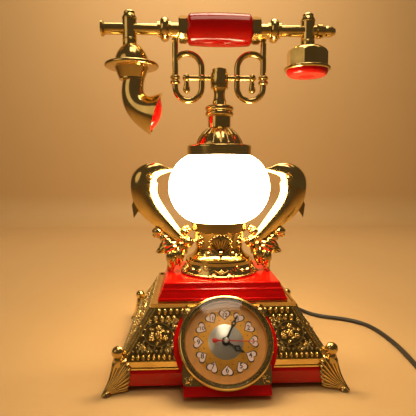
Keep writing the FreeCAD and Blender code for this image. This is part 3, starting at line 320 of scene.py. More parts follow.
# %% Finishes
gold = finish("gold_plating", (0.80, 0.60, 0.25), (0.66, 0.48, 0.18), 0.10, 0.20, 45.0, Metallic=1.0)
red = finish(
    "red_plastic", (0.68, 0.002, 0.002), (0.62, 0.002, 0.002), 0.07, 0.12, 30.0,
    Specular_IOR_Level=0.4, Coat_Weight=0.15, Coat_Roughness=0.08,
)
black = finish("black_plastic", (0.02, 0.02, 0.02), (0.035, 0.035, 0.035), 0.45, 0.6, 60.0)
steel = finish("zinc_steel", (0.55, 0.55, 0.54), (0.45, 0.45, 0.44), 0.3, 0.45, 80.0, Metallic=1.0)
rubber = finish("lead_rubber", (0.018, 0.017, 0.016), (0.03, 0.028, 0.026), 0.42, 0.55, 90.0)
# A darker copy of the gold for the sloped panels: painted shade, standing in for the dark surroundings their
# plating reflects.
painted_shade_gold = finish("painted_shade_gold", (0.34, 0.23, 0.08), (0.24, 0.16, 0.05), 0.25, 0.38, 60.0, Metallic=1.0)
# A lighter copy of the gold for the relief: a painted highlight, so that leaves and scrolls read as lit
# against the darker panels.
painted_highlight_gold = finish("painted_highlight_gold", (0.90, 0.69, 0.29), (0.68, 0.50, 0.18), 0.22, 0.32, 160.0, Metallic=1.0)
dial_brown = finish("dial_brown", (0.58, 0.26, 0.06), (0.50, 0.22, 0.05), 0.35, 0.45, 120.0, Metallic=0.1)
hand_black = finish("hand_black", (0.012, 0.011, 0.010), (0.02, 0.018, 0.016), 0.3, 0.4, 150.0)
hand_red = finish("hand_red", (0.55, 0.015, 0.012), (0.48, 0.012, 0.010), 0.3, 0.4, 150.0)
table_finish = finish("pale_table", (0.74, 0.48, 0.21), (0.71, 0.46, 0.20), 0.55, 0.65, 2.0)


def glow(name, colour, strength):
    """White glass that glows."""
    return plain_material(
        name, Base_Color=(0.95, 0.93, 0.88, 1.0), Roughness=0.25,
        Emission_Color=(*colour, 1.0), Emission_Strength=strength,
    )


opal = glow("opal_glass", (1.0, 0.77, 0.44), 26.0)
bulb = glow("bulb_glass", (1.0, 0.85, 0.6), 6.0)
lens_glass = plain_material(
    "clear_lens", Base_Color=(0.98, 0.99, 0.99, 1.0), Roughness=0.02, IOR=1.45, Transmission_Weight=1.0
)
slot_finish = {
    "gold_plating": gold, "red_plastic": red, "black_plastic": black, "steel": steel, "opal_glass": opal,
    "clear_glass": lens_glass, "bulb_glass": bulb, "dial_card": dial_brown, "hand_black": hand_black,
    "hand_red": hand_red, "lead_rubber": rubber,
}


def paint(obj, material):
    obj.data.materials.clear()
    obj.data.materials.append(material)


for subpart in frame["record"]["subparts"]:
    paint(nodes[subpart["node"]], slot_finish[subpart["material_slot"]])
# The sloped panels get the darker gold, a painted shade.
for name in ("panel_front_left", "panel_front_right", "panel_left", "panel_right", "panel_back"):
    paint(nodes[name], painted_shade_gold)
paint(lead, rubber)
paint(backdrop, table_finish)
nodes["clock_lens"].visible_shadow = False
print("painted nodes", len(nodes))

# %% [markdown]
# The plated mouldings carry leaves, flowers and scrolls in low relief. Each motif is modelled once,
# lying flat on the XY plane, and copied. A leaf starts as a ball: it is cut in half, stretched, drawn to
# a point by narrowing its far end in steps, and its middle line is pressed in as a vein.

# %% Domes and leaves


def edit_whole():
    """Opens the active object in edit mode, with all of it selected."""
    bpy.ops.object.mode_set(mode="EDIT")
    bpy.ops.mesh.select_all(action="SELECT")


def half_ball(name, width, length, height, segments=12):
    """A low dome on the XY plane, in metres."""
    deselect()
    bpy.ops.mesh.primitive_uv_sphere_add(segments=segments, ring_count=segments // 2, radius=1.0)
    dome = bpy.context.object
    dome.name = name
    edit_whole()
    bpy.ops.mesh.bisect(plane_co=(0, 0, 0), plane_no=(0, 0, 1), use_fill=True, clear_inner=True)
    bpy.ops.mesh.select_all(action="SELECT")
    bpy.ops.transform.resize(value=(width / 2, length / 2, height), center_override=(0, 0, 0))
    bpy.ops.object.mode_set(mode="OBJECT")
    return dome


def leaf(name, width, length, height, segments=12, narrow=0.62):
    """A pointed leaf that grows from the origin along +Y. The last value says how fast it narrows."""
    blade = half_ball(name, width, length, height, segments)
    bpy.ops.object.mode_set(mode="EDIT")
    for share in (0.10, 0.25, 0.38):
        select_vertices(blade, lambda co: co.y > share * length)
        bpy.ops.transform.resize(value=(narrow, 1, 0.85), center_override=(0, share * length, 0))
    select_vertices(blade, lambda co: abs(co.x) < 0.03 * width and co.z > 0.1 * height)
    bpy.ops.transform.translate(value=(0, 0, -0.28 * height))
    bpy.ops.mesh.select_all(action="SELECT")
    bpy.ops.transform.translate(value=(0, length / 2, 0))
    bpy.ops.object.mode_set(mode="OBJECT")
    return blade


small_leaf = leaf("small_leaf", 2.6 * mm, 4.6 * mm, 1.5 * mm, 8)
tooth_leaf = leaf("tooth_leaf", 5.4 * mm, 8.6 * mm, 2.2 * mm, 12, 0.8)
big_leaf = leaf("big_leaf", 6.0 * mm, 10.0 * mm, 2.2 * mm)
bead = half_ball("bead", 2.6 * mm, 2.6 * mm, 1.4 * mm, 8)
print("leaf faces", len(small_leaf.data.polygons), len(tooth_leaf.data.polygons), len(big_leaf.data.polygons))

# %% [markdown]
# A moulded relief is one piece, so the copies of the motifs are joined into one mesh. A matrix says where
# each copy goes on a flat sheet. A mirrored copy is turned inside out, so the normals are set afresh.
# A flower is made in this way from petals and a button, and a scroll is a tapered curl with a round eye.

# %% Copies, flowers and scrolls


def copy_of(motif, matrix):
    twin = motif.copy()
    twin.data = motif.data.copy()
    bpy.context.collection.objects.link(twin)
    twin.matrix_world = matrix
    return twin


def one_piece(copies, name):
    """Joins the copies, puts their place into the mesh and points all faces outwards."""
    deselect()
    for each in copies:
        each.select_set(True)
    bpy.context.view_layer.objects.active = copies[0]
    if len(copies) > 1:
        bpy.ops.object.join()
    piece = bpy.context.object
    piece.name = name
    apply_place()
    edit_whole()
    bpy.ops.mesh.normals_make_consistent(inside=False)
    bpy.ops.object.mode_set(mode="OBJECT")
    bpy.ops.object.shade_smooth_by_angle(angle=math.radians(50))
    return piece


def at(x, y, turn=0.0, size=1.0, lift=0.0, flip=1.0, tall=1.0):
    """A place on the flat sheet: millimetres, a turn in degrees and a size. A flip of -1 mirrors it."""
    spot = Matrix.Translation((x * mm, y * mm, lift * mm)) @ Matrix.Rotation(math.radians(turn), 4, "Z")
    return spot @ Matrix.Diagonal((size * flip, size, size * tall, 1.0))


def flower_motif(name, petals, radius):
    """Petals round a button, flat on the sheet."""
    petal = half_ball("petal", 0.95 * radius, radius, 0.34 * radius, 8)
    button = half_ball("button", 0.7 * radius, 0.7 * radius, 0.5 * radius, 8)
    copies = [button]
    for i in range(petals):
        turn = Matrix.Rotation(2 * math.pi * i / petals, 4, "Z")
        copies.append(copy_of(petal, turn @ Matrix.Translation((0, 0.55 * radius, 0))))
    bpy.data.objects.remove(petal)
    return one_piece(copies, name)


def scroll_motif(name, radius, thick):
    """A curl that starts at the origin, runs along +Y and rolls up to the right, thinner towards its eye."""
    turns = 1.45
    count = 26
    eye_x, eye_y = 0.9 * radius, 1.2 * radius
    points, sizes = [], []
    for i in range(count):
        share = i / (count - 1)
        angle = math.pi - share * turns * 2 * math.pi
        reach = radius * (1 - 0.86 * share)
        points.append((eye_x + reach * math.cos(angle), eye_y + reach * math.sin(angle), 0.0))
        sizes.append(thick * (1.0 - 0.5 * share))
    points.insert(0, (0.0, 0.0, 0.0))
    sizes.insert(0, thick * 0.7)
    curl = spline_curve(name, points, sizes)
    eye = half_ball("scroll_eye", 4.2 * thick, 4.2 * thick, 2.0 * thick, 8)
    eye.matrix_world = Matrix.Translation((eye_x, eye_y, 0))
    make_active(curl)
    curl.data.resolution_u = 2
    curl.data.bevel_resolution = 1
    bpy.ops.object.convert(target="MESH")
    return one_piece([bpy.context.object, eye], name)


flower = flower_motif("flower", 5, 3.6 * mm)
scroll = scroll_motif("scroll", 4.4 * mm, 0.85 * mm)
motifs = [small_leaf, tooth_leaf, big_leaf, flower, scroll, bead]
print("motif faces", {m.name: len(m.data.polygons) for m in motifs})

# %% [markdown]
# The sloped panels are sunk fields with a raised border. A row of leaves hangs from the top of the field,
# a row of small leaves stands at its foot, and a wreath with flowers sits in the middle, with scrolls
# in its corners. Leaves also edge the border's two rails, and two rods run up each sloped edge.
# The layout is drawn flat, x across the panel and y up the slope, and a matrix from the frame's boxes
# lays it on each side.

# %% Panel layout
panel_low = (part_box("panel_left")[0][0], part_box("panel_front_left")[0][1])
panel_high = (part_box("panel_right")[1][0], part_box("panel_back")[1][1])
panel_z = (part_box("panel_back")[0][2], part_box("panel_back")[1][2])
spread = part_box("ledge")[0][0] - panel_low[0]
slope_length = math.hypot(spread, panel_z[1] - panel_z[0])
field_depth = 1.6
pilaster = 6.5
wreath_y = 25.0
wreath_wide = 13.6
wreath_high = 11.4


def panel_matrix(outward, middle, foot):
    """The panel's own axes: across, up the slope and outwards, from the middle of its bottom edge."""
    rise = panel_z[1] - panel_z[0]
    up = (Vector((0, 0, rise)) - Vector(outward) * spread).normalized()
    across = Vector((0, 0, 1)).cross(Vector(outward))
    normal = across.cross(up)
    axes = Matrix((across, up, normal)).transposed().to_4x4()
    spot = Vector(middle) + Vector(outward) * foot
    return Matrix.Translation((spot.x, spot.y, panel_z[0])) @ axes


def side_limit(half_foot, y):
    """Half the width of the sunk field at a height y up the slope, in millimetres."""
    return half_foot - pilaster - y * spread / slope_length


print("panel slope in mm", round(slope_length / mm, 2))

# %% [markdown]
# The wreath is the middle of each panel: an oval ring, leaves along it, a flower in the centre and three
# round it. Its copies are stretched upwards, so that they stand clear of the oval boss on the solid panel.

# %% Wreath and corner scrolls
ring_leaves = 14
inner_share, flower_share, leaf_share = 0.74, 0.58, 0.55


def wreath(x, y, wide, high):
    """An oval ring with leaves round it and flowers in it."""
    def spot(share, degrees):
        angle = math.radians(degrees)
        return x + share * wide * math.cos(angle), y + share * high * math.sin(angle)

    deselect()
    bpy.ops.mesh.primitive_torus_add(
        major_segments=32, minor_segments=6, major_radius=wide * mm, minor_radius=1.0 * mm
    )
    ring = bpy.context.object
    ring.matrix_world = at(x, y) @ Matrix.Diagonal((1.0, high / wide, 3.0, 1.0))
    copies = [ring]
    for i in range(ring_leaves):
        turn = 360 * i / ring_leaves
        copies.append(copy_of(small_leaf, at(*spot(1.0, turn), turn - 90, tall=2.1)))
        if i % 2:
            copies.append(copy_of(small_leaf, at(*spot(inner_share, turn), turn + 90, tall=2.1)))
    copies.append(copy_of(flower, at(x, y, 18, 1.15, 0.4, tall=2.3)))
    for turn in (90, 210, 330):
        copies.append(copy_of(flower, at(*spot(flower_share, turn), turn, 0.9, 0.4, tall=2.6)))
        for lean in (100, -60):
            place = at(*spot(leaf_share, turn + 60), turn + lean, 0.62, 0.4, tall=1.9)
            copies.append(copy_of(big_leaf, place))
    return copies


def corner_scrolls(x, y, wide, high):
    """Four curls that fill the corners round a wreath, with a leaf by each of the lower two."""
    copies = []
    for side in (-1, 1):
        low_curl = at(x + side * 3.0, y - high - 4.2, -side * 62, flip=side, tall=2.8)
        high_curl = at(x + side * (wide + 0.5), y + 4.0, -side * 8, 0.85, flip=side, tall=3.2)
        low_leaf = at(x + side * (wide - 1.0), y - high + 1.0, -side * 118, 0.72, tall=1.8)
        for motif, place in ((scroll, low_curl), (scroll, high_curl), (big_leaf, low_leaf)):
            copies.append(copy_of(motif, place))
    return copies


print("wreath leaves", ring_leaves + ring_leaves // 2)

# %% [markdown]
# What the wreaths leave free is filled closely, as on a cast panel: rows of leaves at the edges, rods on
# the border, and small leaves and beads in shifted rows between. The long panels get a vine as well,
# whose scrolls and leaves swing from side to side.

# %% Rows, rods, filling and vine
row_pitch = 4.4
filling_pitch = 4.2
filling_gap = 2.2
vine_pitch = 12.5


def leaf_row(motif, start, end, y, pitch, turn, size, lift=0.0):
    """Leaves side by side from start to end, as many as the pitch allows."""
    count = max(int(abs(end - start) / pitch), 1)
    step = (end - start) / count
    places = [start + (i + 0.5) * step for i in range(count)]
    return [copy_of(motif, at(x, y, turn, size, lift, tall=1.6)) for x in places]


def edge_rod(half_foot, side, inset, thick):
    """A half sunk rod up the sloped edge of a panel, on its raised border."""
    high = slope_length / mm
    foot = Vector((side * (half_foot - inset), 1.0, field_depth)) * mm
    top = Vector((side * (half_foot - inset - spread / mm), high - 1.0, field_depth)) * mm
    deselect()
    bpy.ops.mesh.primitive_cylinder_add(vertices=12, radius=thick * mm, depth=(top - foot).length)
    rod = bpy.context.object
    turn = (top - foot).to_track_quat("Z", "Y").to_matrix().to_4x4()
    rod.matrix_world = Matrix.Translation((foot + top) / 2) @ turn
    return rod


def filling(half_foot, inner, hand, wreaths):
    """Small leaves and beads in rows, with every second row shifted, where no wreath is."""
    clear_x, clear_y = wreath_wide + filling_gap, wreath_high + filling_gap
    copies = []
    for row in range(7):
        y = 12.0 + row_pitch * row
        x = max(inner, 2.0) + (2.4 if row % 2 else 0.4)
        while x < side_limit(half_foot, y) - 2.0:
            if all(((hand * x - w) / clear_x) ** 2 + ((y - wreath_y) / clear_y) ** 2 > 1 for w in wreaths):
                turn = 70 * math.sin(1.7 * x + 2.3 * row)
                copies.append(copy_of(small_leaf, at(hand * x, y - 2.0, hand * turn, 1.3, tall=1.5)))
                copies.append(copy_of(bead, at(hand * (x + 2.1), y + 0.8, size=0.8, tall=2.2)))
            x += filling_pitch
    return copies


def vine(start, end, y):
    """A wavy run of scrolls, leaves and flowers along a long panel."""
    copies = []
    count = max(int(abs(end - start) / vine_pitch), 1)
    step = (end - start) / count
    side = math.copysign(1, step)
    for i in range(count):
        x = start + (i + 0.35) * step
        swing = 1 if i % 2 else -1
        curl_turn = -side * (90 - swing * 38)
        plan = [
            (scroll, at(x, y - swing * 3.5, curl_turn, 1.15, flip=side * swing, tall=2.4)),
            (big_leaf, at(x + 0.2 * step, y + swing * 5.5, -side * 60 * swing, 0.8, tall=1.6)),
            (flower, at(x + 0.55 * step, y - swing * 7.5, 20 * i, 0.95, tall=2.2)),
            (small_leaf, at(x + 0.45 * step, y + swing * 10, -side * 100, 1.2, tall=1.7)),
            (small_leaf, at(x + 0.1 * step, y - swing * 11, side * 40, 1.2, tall=1.7)),
        ]
        copies += [copy_of(motif, place) for motif, place in plan]
    return copies


print("filling pitch", filling_pitch, "and vine pitch", vine_pitch)

# %% [markdown]
# Each panel's relief is one piece that rides on the base. The clock stands between the two front panels,
# so their relief starts beside it. The back and the two sides are dressed all over.

# %% Panel reliefs
top_row_y, foot_row_y = 45.0, 7.0
rail_margin = 0.6
vine_y = 24.5
edge_rods = [(1.7, 1.3), (4.9, 1.0)]


def belongs(piece, material, body):
    """Paints a new piece and says which body it rides on."""
    paint(piece, material)
    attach(piece, body)
    return piece


def dress_panel(name, matrix, half_foot, wreaths, inner, vines):
    """All the relief of one panel as one piece. The inner limit keeps it clear of the clock."""
    rail_y = slope_length / mm - rail_margin
    top_half = side_limit(half_foot, top_row_y)
    foot_half = side_limit(half_foot, foot_row_y)
    rail_half = side_limit(half_foot, rail_y)
    copies = []
    for side in (-1, 1):
        if inner and wreaths[0] * side < 0:
            continue
        start = side * max(inner, 0.5)
        rail_start = side * max(inner - 8, 0.5)
        copies += leaf_row(tooth_leaf, start, side * top_half, top_row_y, 5.8, 180, 1.0)
        copies += leaf_row(small_leaf, start, side * foot_half, foot_row_y, 4.3, 0, 1.1)
        copies += filling(half_foot, inner, side, wreaths)
        copies += leaf_row(tooth_leaf, rail_start, side * rail_half, rail_y, 5.8, 180, 0.8, field_depth)
        copies += leaf_row(tooth_leaf, start, side * foot_half, rail_margin, 4.8, 0, 0.66, field_depth)
        copies += [edge_rod(half_foot, side, inset, thick) for inset, thick in edge_rods]
    for x in wreaths:
        copies += wreath(x, wreath_y, wreath_wide, wreath_high)
        copies += corner_scrolls(x, wreath_y, wreath_wide, wreath_high)
    for vine_start, vine_end in vines:
        copies += vine(vine_start, vine_end, vine_y)
    piece = one_piece(copies, name)
    piece.data.transform(matrix @ Matrix.Translation((0, 0, -field_depth * mm)))
    # The relief is painted in the lighter gold, a painted highlight.
    return belongs(piece, painted_highlight_gold, "base")


half_width = panel_high[0] / mm
half_depth = (panel_high[1] - panel_low[1]) / 2 / mm
middle = (0.0, (panel_low[1] + panel_high[1]) / 2, 0.0)
front_matrix = panel_matrix((0, -1, 0), middle, half_depth * mm)
back_matrix = panel_matrix((0, 1, 0), middle, half_depth * mm)
left_matrix = panel_matrix((-1, 0, 0), middle, half_width * mm)
right_matrix = panel_matrix((1, 0, 0), middle, half_width * mm)
back_vines = [(16.0, 44.0), (-16.0, -44.0)]
side_vines = [(17.0, 68.0), (-17.0, -68.0)]
panel_plan = [
    ("relief_front_left", front_matrix, half_width, [-66.0], 47.0, []),
    ("relief_front_right", front_matrix, half_width, [66.0], 47.0, []),
    ("relief_back", back_matrix, half_width, [-60.0, 0.0, 60.0], 0.0, back_vines),
    ("relief_left", left_matrix, half_depth, [0.0], 0.0, side_vines),
    ("relief_right", right_matrix, half_depth, [0.0], 0.0, side_vines),
]
for plan in panel_plan:
    relief = dress_panel(*plan)
    print(relief.name, "triangles about", 2 * len(relief.data.polygons))

# %% [markdown]
# The clock face. The joint of the minute hand gives the centre and the axis of the clock, so the face is
# drawn flat, x to the right and y towards the twelve, and laid there by a matrix. The dial is printed:
# a silver middle and twelve pale hearts with a dark edge on a gold ground. Each print is a thin sheet,
# one just above the other.

# %% Clock axes and dial finishes
clock_joint = next(j for j in frame["record"]["behaviour"]["joints"] if j["child"] == "minute_hand")
clock_out = -Vector(clock_joint["axis"])
clock_up = clock_out.cross(Vector((1, 0, 0)))
clock_axes = Matrix((Vector((1, 0, 0)), clock_up, clock_out)).transposed().to_4x4()
clock_frame = Matrix.Translation(clock_joint["pos_m"]) @ clock_axes
dial_level = -7.5
plate_level = -8.5

silver = finish("dial_silver", (0.62, 0.60, 0.57), (0.52, 0.50, 0.47), 0.28, 0.36, 60.0, Metallic=0.8)
amber = finish("dial_amber", (0.66, 0.31, 0.025), (0.58, 0.26, 0.02), 0.35, 0.45, 120.0, Metallic=0.1)
blush = finish("heart_blush", (0.80, 0.62, 0.60), (0.76, 0.57, 0.55), 0.45, 0.55, 200.0)
ink = finish("dial_ink", (0.03, 0.014, 0.012), (0.04, 0.02, 0.016), 0.5, 0.6, 200.0)


def on_clock(piece, level):
    """Lays a flat piece on the clock, a level in millimetres along its axis."""
    piece.data.transform(clock_frame @ Matrix.Translation((0, 0, level * mm)))
    return piece


print("clock centre", clock_joint["pos_m"])

# %% [markdown]
# A heart could be drawn by hand with curves, but a short formula gives an even one. Its outline is filled
# and given a thickness. The round sheets are discs whose upper edge is bevelled.

# %% Hearts and discs


def heart_sheet(name, size, thick):
    """A flat heart with its point at the bottom, cut from one closed curve."""
    data = bpy.data.curves.new(name, "CURVE")
    data.dimensions = "2D"
    data.fill_mode = "BOTH"
    data.extrude = thick / 2
    outline = data.splines.new("POLY")
    count = 40
    outline.points.add(count - 1)
    for i in range(count):
        t = 2 * math.pi * i / count
        x = math.sin(t) ** 3
        y = (13 * math.cos(t) - 5 * math.cos(2 * t) - 2 * math.cos(3 * t) - math.cos(4 * t)) / 16
        outline.points[i].co = (x * size, (y + 0.12) * size, 0.0, 1.0)
    outline.use_cyclic_u = True
    heart = bpy.data.objects.new(name, data)
    bpy.context.collection.objects.link(heart)
    make_active(heart)
    bpy.ops.object.convert(target="MESH")
    return bpy.context.object


def disc_sheet(name, radius, thick, vertices=48):
    deselect()
    bpy.ops.mesh.primitive_cylinder_add(vertices=vertices, radius=radius, depth=thick)
    disc = bpy.context.object
    disc.name = name
    bpy.ops.object.mode_set(mode="EDIT")
    select_vertices(disc, lambda co: co.z > 0)
    bpy.ops.mesh.bevel(offset=0.3 * thick, segments=1, affect="EDGES")
    bpy.ops.object.mode_set(mode="OBJECT")
    return disc


heart_size = 4.9
edge_share = 1.24
print_thick = 0.10
dot_radius = 0.55
edge_heart = heart_sheet("edge_heart", edge_share * heart_size * mm, print_thick * mm)
plain_heart = heart_sheet("plain_heart", heart_size * mm, print_thick * mm)
dot = disc_sheet("dot", dot_radius * mm, print_thick * mm, 10)
print("heart and dot faces", len(plain_heart.data.polygons), len(dot.data.polygons))

# %% [markdown]
# The twelve hours stand on one ring. Each has a dark heart, a paler and smaller one on it and its number,
# and two dots stand between neighbours. All that is printed in one colour is joined into one piece.

# %% Dial
hour_ring = 26.6
hour_turn = 30
edge_lift, heart_lift, number_lift = 0.10, 0.20, 0.32
short_number, long_number = 6.8, 5.4
dot_rings = (hour_ring - 4.5, hour_ring + 1.0)


def ring_place(ring, turn):
    """Where a turn from the twelve, in degrees, stands on a ring of the flat dial."""
    return ring * math.sin(math.radians(turn)), ring * math.cos(math.radians(turn))


edges, hearts, numbers, dots = [], [], [], []
for hour in range(1, 13):
    turn = hour_turn * hour
    x, y = ring_place(hour_ring, turn)
    edges.append(copy_of(edge_heart, at(x, y, -turn, lift=edge_lift)))
    hearts.append(copy_of(plain_heart, at(x, y, -turn, lift=heart_lift)))
    deselect()
    bpy.ops.object.text_add()
    number = bpy.context.object
    number.data.body = str(hour)
    number.data.align_x = "CENTER"
    number.data.align_y = "CENTER"
    number.data.size = (short_number if hour < 10 else long_number) * mm
    number.data.extrude = print_thick / 2 * mm
    number.data.offset = 0.1 * mm
    bpy.ops.object.convert(target="MESH")
    number = bpy.context.object
    number.matrix_world = at(x, y, lift=number_lift)
    numbers.append(number)
    for ring in dot_rings:
        x, y = ring_place(ring, turn + hour_turn / 2)
        dots.append(copy_of(dot, at(x, y, lift=edge_lift)))
ground = disc_sheet("dial_ground", 32.0 * mm, 0.06 * mm, 64)
middle_disc = disc_sheet("dial_middle", 17.2 * mm, 0.2 * mm, 64)
dial_prints = [
    ("heart_edges", edges, 0.0, ink),
    ("dial_hearts", hearts, 0.0, blush),
    ("dial_numbers", numbers, 0.0, ink),
    ("dial_dots", dots, 0.0, ink),
    ("dial_ground", [ground], 0.03, amber),
    ("dial_middle", [middle_disc], 0.08, silver),
]
for name, sheets, rise, colour in dial_prints:
    belongs(on_clock(one_piece(sheets, name), dial_level + rise), colour, "base")
for spare in (edge_heart, plain_heart, dot):
    bpy.data.objects.remove(spare)
print("dial hours", len(numbers))

# %% [markdown]
# The square plate behind the ring shows only at its corners. A leaf points into each corner,
# with a small flower at its foot. The second hand has a round tail and a small cap over the pin.
# Both ride on the second hand, so they turn with it.

# %% Corner leaves and second hand
plate_corners = [(-36.0, -34.5), (36.0, -34.5), (-36.5, 31.5), (36.5, 31.5)]
corners = []
for x, y in plate_corners:
    outward = math.degrees(math.atan2(y, x)) - 90
    corners.append(copy_of(big_leaf, at(0.93 * x, 0.93 * y, outward, 0.85)))
    for lean in (-52, 52):
        corners.append(copy_of(small_leaf, at(0.97 * x, 0.97 * y, outward + lean, 1.25)))
    corners.append(copy_of(flower, at(0.95 * x, 0.95 * y, 0.0, 0.55, 0.9)))
belongs(on_clock(one_piece(corners, "plate_corner_leaves"), plate_level), gold, "base")

second_level = dial_level + 4.6
second_turn = math.radians(-92.0)
tail_reach = -11.0
tail_radius, tail_thick = 2.5, 0.6
tail = disc_sheet("second_tail", tail_radius * mm, tail_thick * mm, 32)
tail.matrix_world = at(-tail_reach * math.sin(second_turn), tail_reach * math.cos(second_turn))
belongs(on_clock(one_piece([tail], "second_tail"), second_level), hand_red, "second_hand")
cap = half_ball("hand_cap", 5.0 * mm, 5.0 * mm, 1.2 * mm, 16)
cap_level = second_level + tail_thick / 2
belongs(on_clock(one_piece([cap], "hand_cap"), cap_level), silver, "second_hand")
print("second hand tail at", tail_reach)

# %% [markdown]
# The urn has a fan shell in front, with a curl on each side, and the ring under it has beads and scrolls.
# These sit on round walls. They are laid out flat, x round the wall and y up it, and then rolled on:
# each point keeps its height, and its x becomes an angle round the column. A wall is a short list of
# heights and radii, so that the relief follows the hollow of the urn.

# %% Rolling onto a round wall
urn_wall = [
    (112.4, 35.5), (113.7, 32.8), (115.7, 30.5), (118.2, 28.7), (121.0, 27.7), (124.0, 27.3), (131.8, 27.7),
    (137.5, 28.6), (141.2, 29.5), (143.0, 31.5),
]
socle_wall = [(94.0, 43.6), (97.2, 43.6), (97.3, 41.1), (106.8, 38.0)]
urn_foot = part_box("urn")[0][2] / mm
socle_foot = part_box("socle")[0][2] / mm
urn_radius = 28.0
socle_radius = 40.0


def wall_at(wall, height):
    """The radius of a turned wall at a height, both in millimetres, from a list of heights and radii."""
    for (low, low_radius), (high, high_radius) in zip(wall, wall[1:]):
        if height <= high:
            share = max((height - low) / (high - low), 0.0)
            return low_radius + share * (high_radius - low_radius)
    return wall[-1][1]


def roll_round(piece, wall, bottom, round_radius):
    """Rolls a flat piece round the column, facing the front. A round radius turns its x into an angle."""
    for vertex in piece.data.vertices:
        height = bottom + vertex.co.y / mm
        reach = wall_at(wall, height) * mm + vertex.co.z
        angle = vertex.co.x / (round_radius * mm)
        vertex.co = (reach * math.sin(angle), column_y - reach * math.cos(angle), height * mm)
    return piece


print("urn foot at", round(urn_foot, 2), "socle foot at", round(socle_foot, 2))

# %% [markdown]
# The fan shell is a broad leaf with its point down. Nine thin ribs spread over it, each with a bead at
# its tip, and curls, flowers and leaves stand beside it. The same set is on the back, half a turn away.

# %% Urn shell
fan_y = 31.0
rib_foot_y = 8.5
rib_reach = 20.0
rib_count = 9
rib_step = 11
rib = leaf("shell_rib", 2.0 * mm, 21.0 * mm, 4.2 * mm, 12, 0.7)
fan = leaf("shell_fan", 25.0 * mm, 23.0 * mm, 2.8 * mm, 20, 0.66)
shell = []
for side in (0.0, math.pi):
    offset = side * urn_radius
    shell.append(copy_of(fan, at(offset, fan_y, 180)))
    for i in range(rib_count):
        lean = rib_step * (i - rib_count // 2)
        size = 1.06 - 0.003 * abs(lean)
        tip_x = offset - rib_reach * size * math.sin(math.radians(lean))
        tip_y = rib_foot_y + rib_reach * size * math.cos(math.radians(lean))
        shell.append(copy_of(rib, at(tip_x, tip_y, lean + 180, size)))
        shell.append(copy_of(bead, at(tip_x, tip_y, size=1.2)))
    for hand in (-1, 1):
        shell.append(copy_of(scroll, at(offset + hand * 3.5, 11.0, -hand * 64, 1.6, flip=hand)))
        shell.append(copy_of(scroll, at(offset + hand * 21.0, 13.0, -hand * 4, 1.2, flip=hand, tall=1.1)))
        shell.append(copy_of(flower, at(offset + hand * 24.5, 25.0, size=1.1, tall=1.5)))
        shell.append(copy_of(big_leaf, at(offset + hand * 26.0, 22.0, hand * 160, 0.9, tall=1.4)))
    shell.append(copy_of(bead, at(offset, 10.2, size=2.4, lift=0.8)))
urn_shell = roll_round(one_piece(shell, "urn_shell"), urn_wall, urn_foot, urn_radius)
belongs(urn_shell, gold, "base")
for spare in (rib, fan):
    bpy.data.objects.remove(spare)
print("urn shell faces", len(urn_shell.data.polygons))

# %% [markdown]
# The socle is the ring under the urn. A string of beads runs round its foot, and above it four groups
# of scrolls and leaves meet at a flower, one group on each side of the lamp.

# %% Socle beads and scrolls
turn_length = 2 * math.pi * socle_radius
bead_count = 96
bead_y = 1.6
ring_pieces = []
for i in range(bead_count):
    ring_pieces.append(copy_of(bead, at((i + 0.5) * turn_length / bead_count, bead_y)))
beads = roll_round(one_piece(ring_pieces, "socle_beads"), socle_wall, socle_foot, socle_radius)
belongs(beads, gold, "base")
group_count = 4
socle_scrolls = []
for i in range(group_count):
    offset = i * turn_length / group_count
    for hand in (-1, 1):
        plan = [
            (scroll, at(offset + hand * 1.0, 4.6, -hand * 66, 1.2, flip=hand, tall=1.3)),
            (scroll, at(offset + hand * 12.0, 10.6, -hand * 116, flip=-hand, tall=1.5)),
            (small_leaf, at(offset + hand * 23.0, 7.5, -hand * 90, 1.6, tall=1.3)),
            (small_leaf, at(offset + hand * 6.0, 5.0, -hand * 100, 1.4, tall=1.3)),
        ]
        socle_scrolls += [copy_of(motif, place) for motif, place in plan]
    socle_scrolls.append(copy_of(flower, at(offset, 6.6, size=0.8, tall=1.5)))
scrolls = roll_round(one_piece(socle_scrolls, "socle_scrolls"), socle_wall, socle_foot, socle_radius)
# The socle scrolls get the lighter gold, a painted highlight.
belongs(scrolls, painted_highlight_gold, "base")
print("socle faces", len(beads.data.polygons), len(scrolls.data.polygons))

# %% [markdown]
# The dolphins keep their solid bodies. Each gets an eye in a ring, and where its tail meets the urn,
# rosettes and full leaves that hide the plain fins. They are laid out in the plane of the lamp's front,
# for the right side, and copied to the left with x turned round. The same set turned to the back makes
# the other face. Each entry of the plan is a motif, its x and z, its turn, its size and how far out it is.

# %% Dolphin eyes, rosettes and leaves
round_leaf = leaf("round_leaf", 10.0 * mm, 20.0 * mm, 4.0 * mm, 16, 0.84)
eye_ring_radius = 3.6


def eye_motif():
    deselect()
    bpy.ops.mesh.primitive_torus_add(
        major_segments=24, minor_segments=8, major_radius=eye_ring_radius * mm, minor_radius=0.9 * mm
    )
    ring = bpy.context.object
    ball = half_ball("eye_ball", 5.0 * mm, 5.0 * mm, 2.2 * mm, 12)
    return one_piece([ring, ball], "eye")


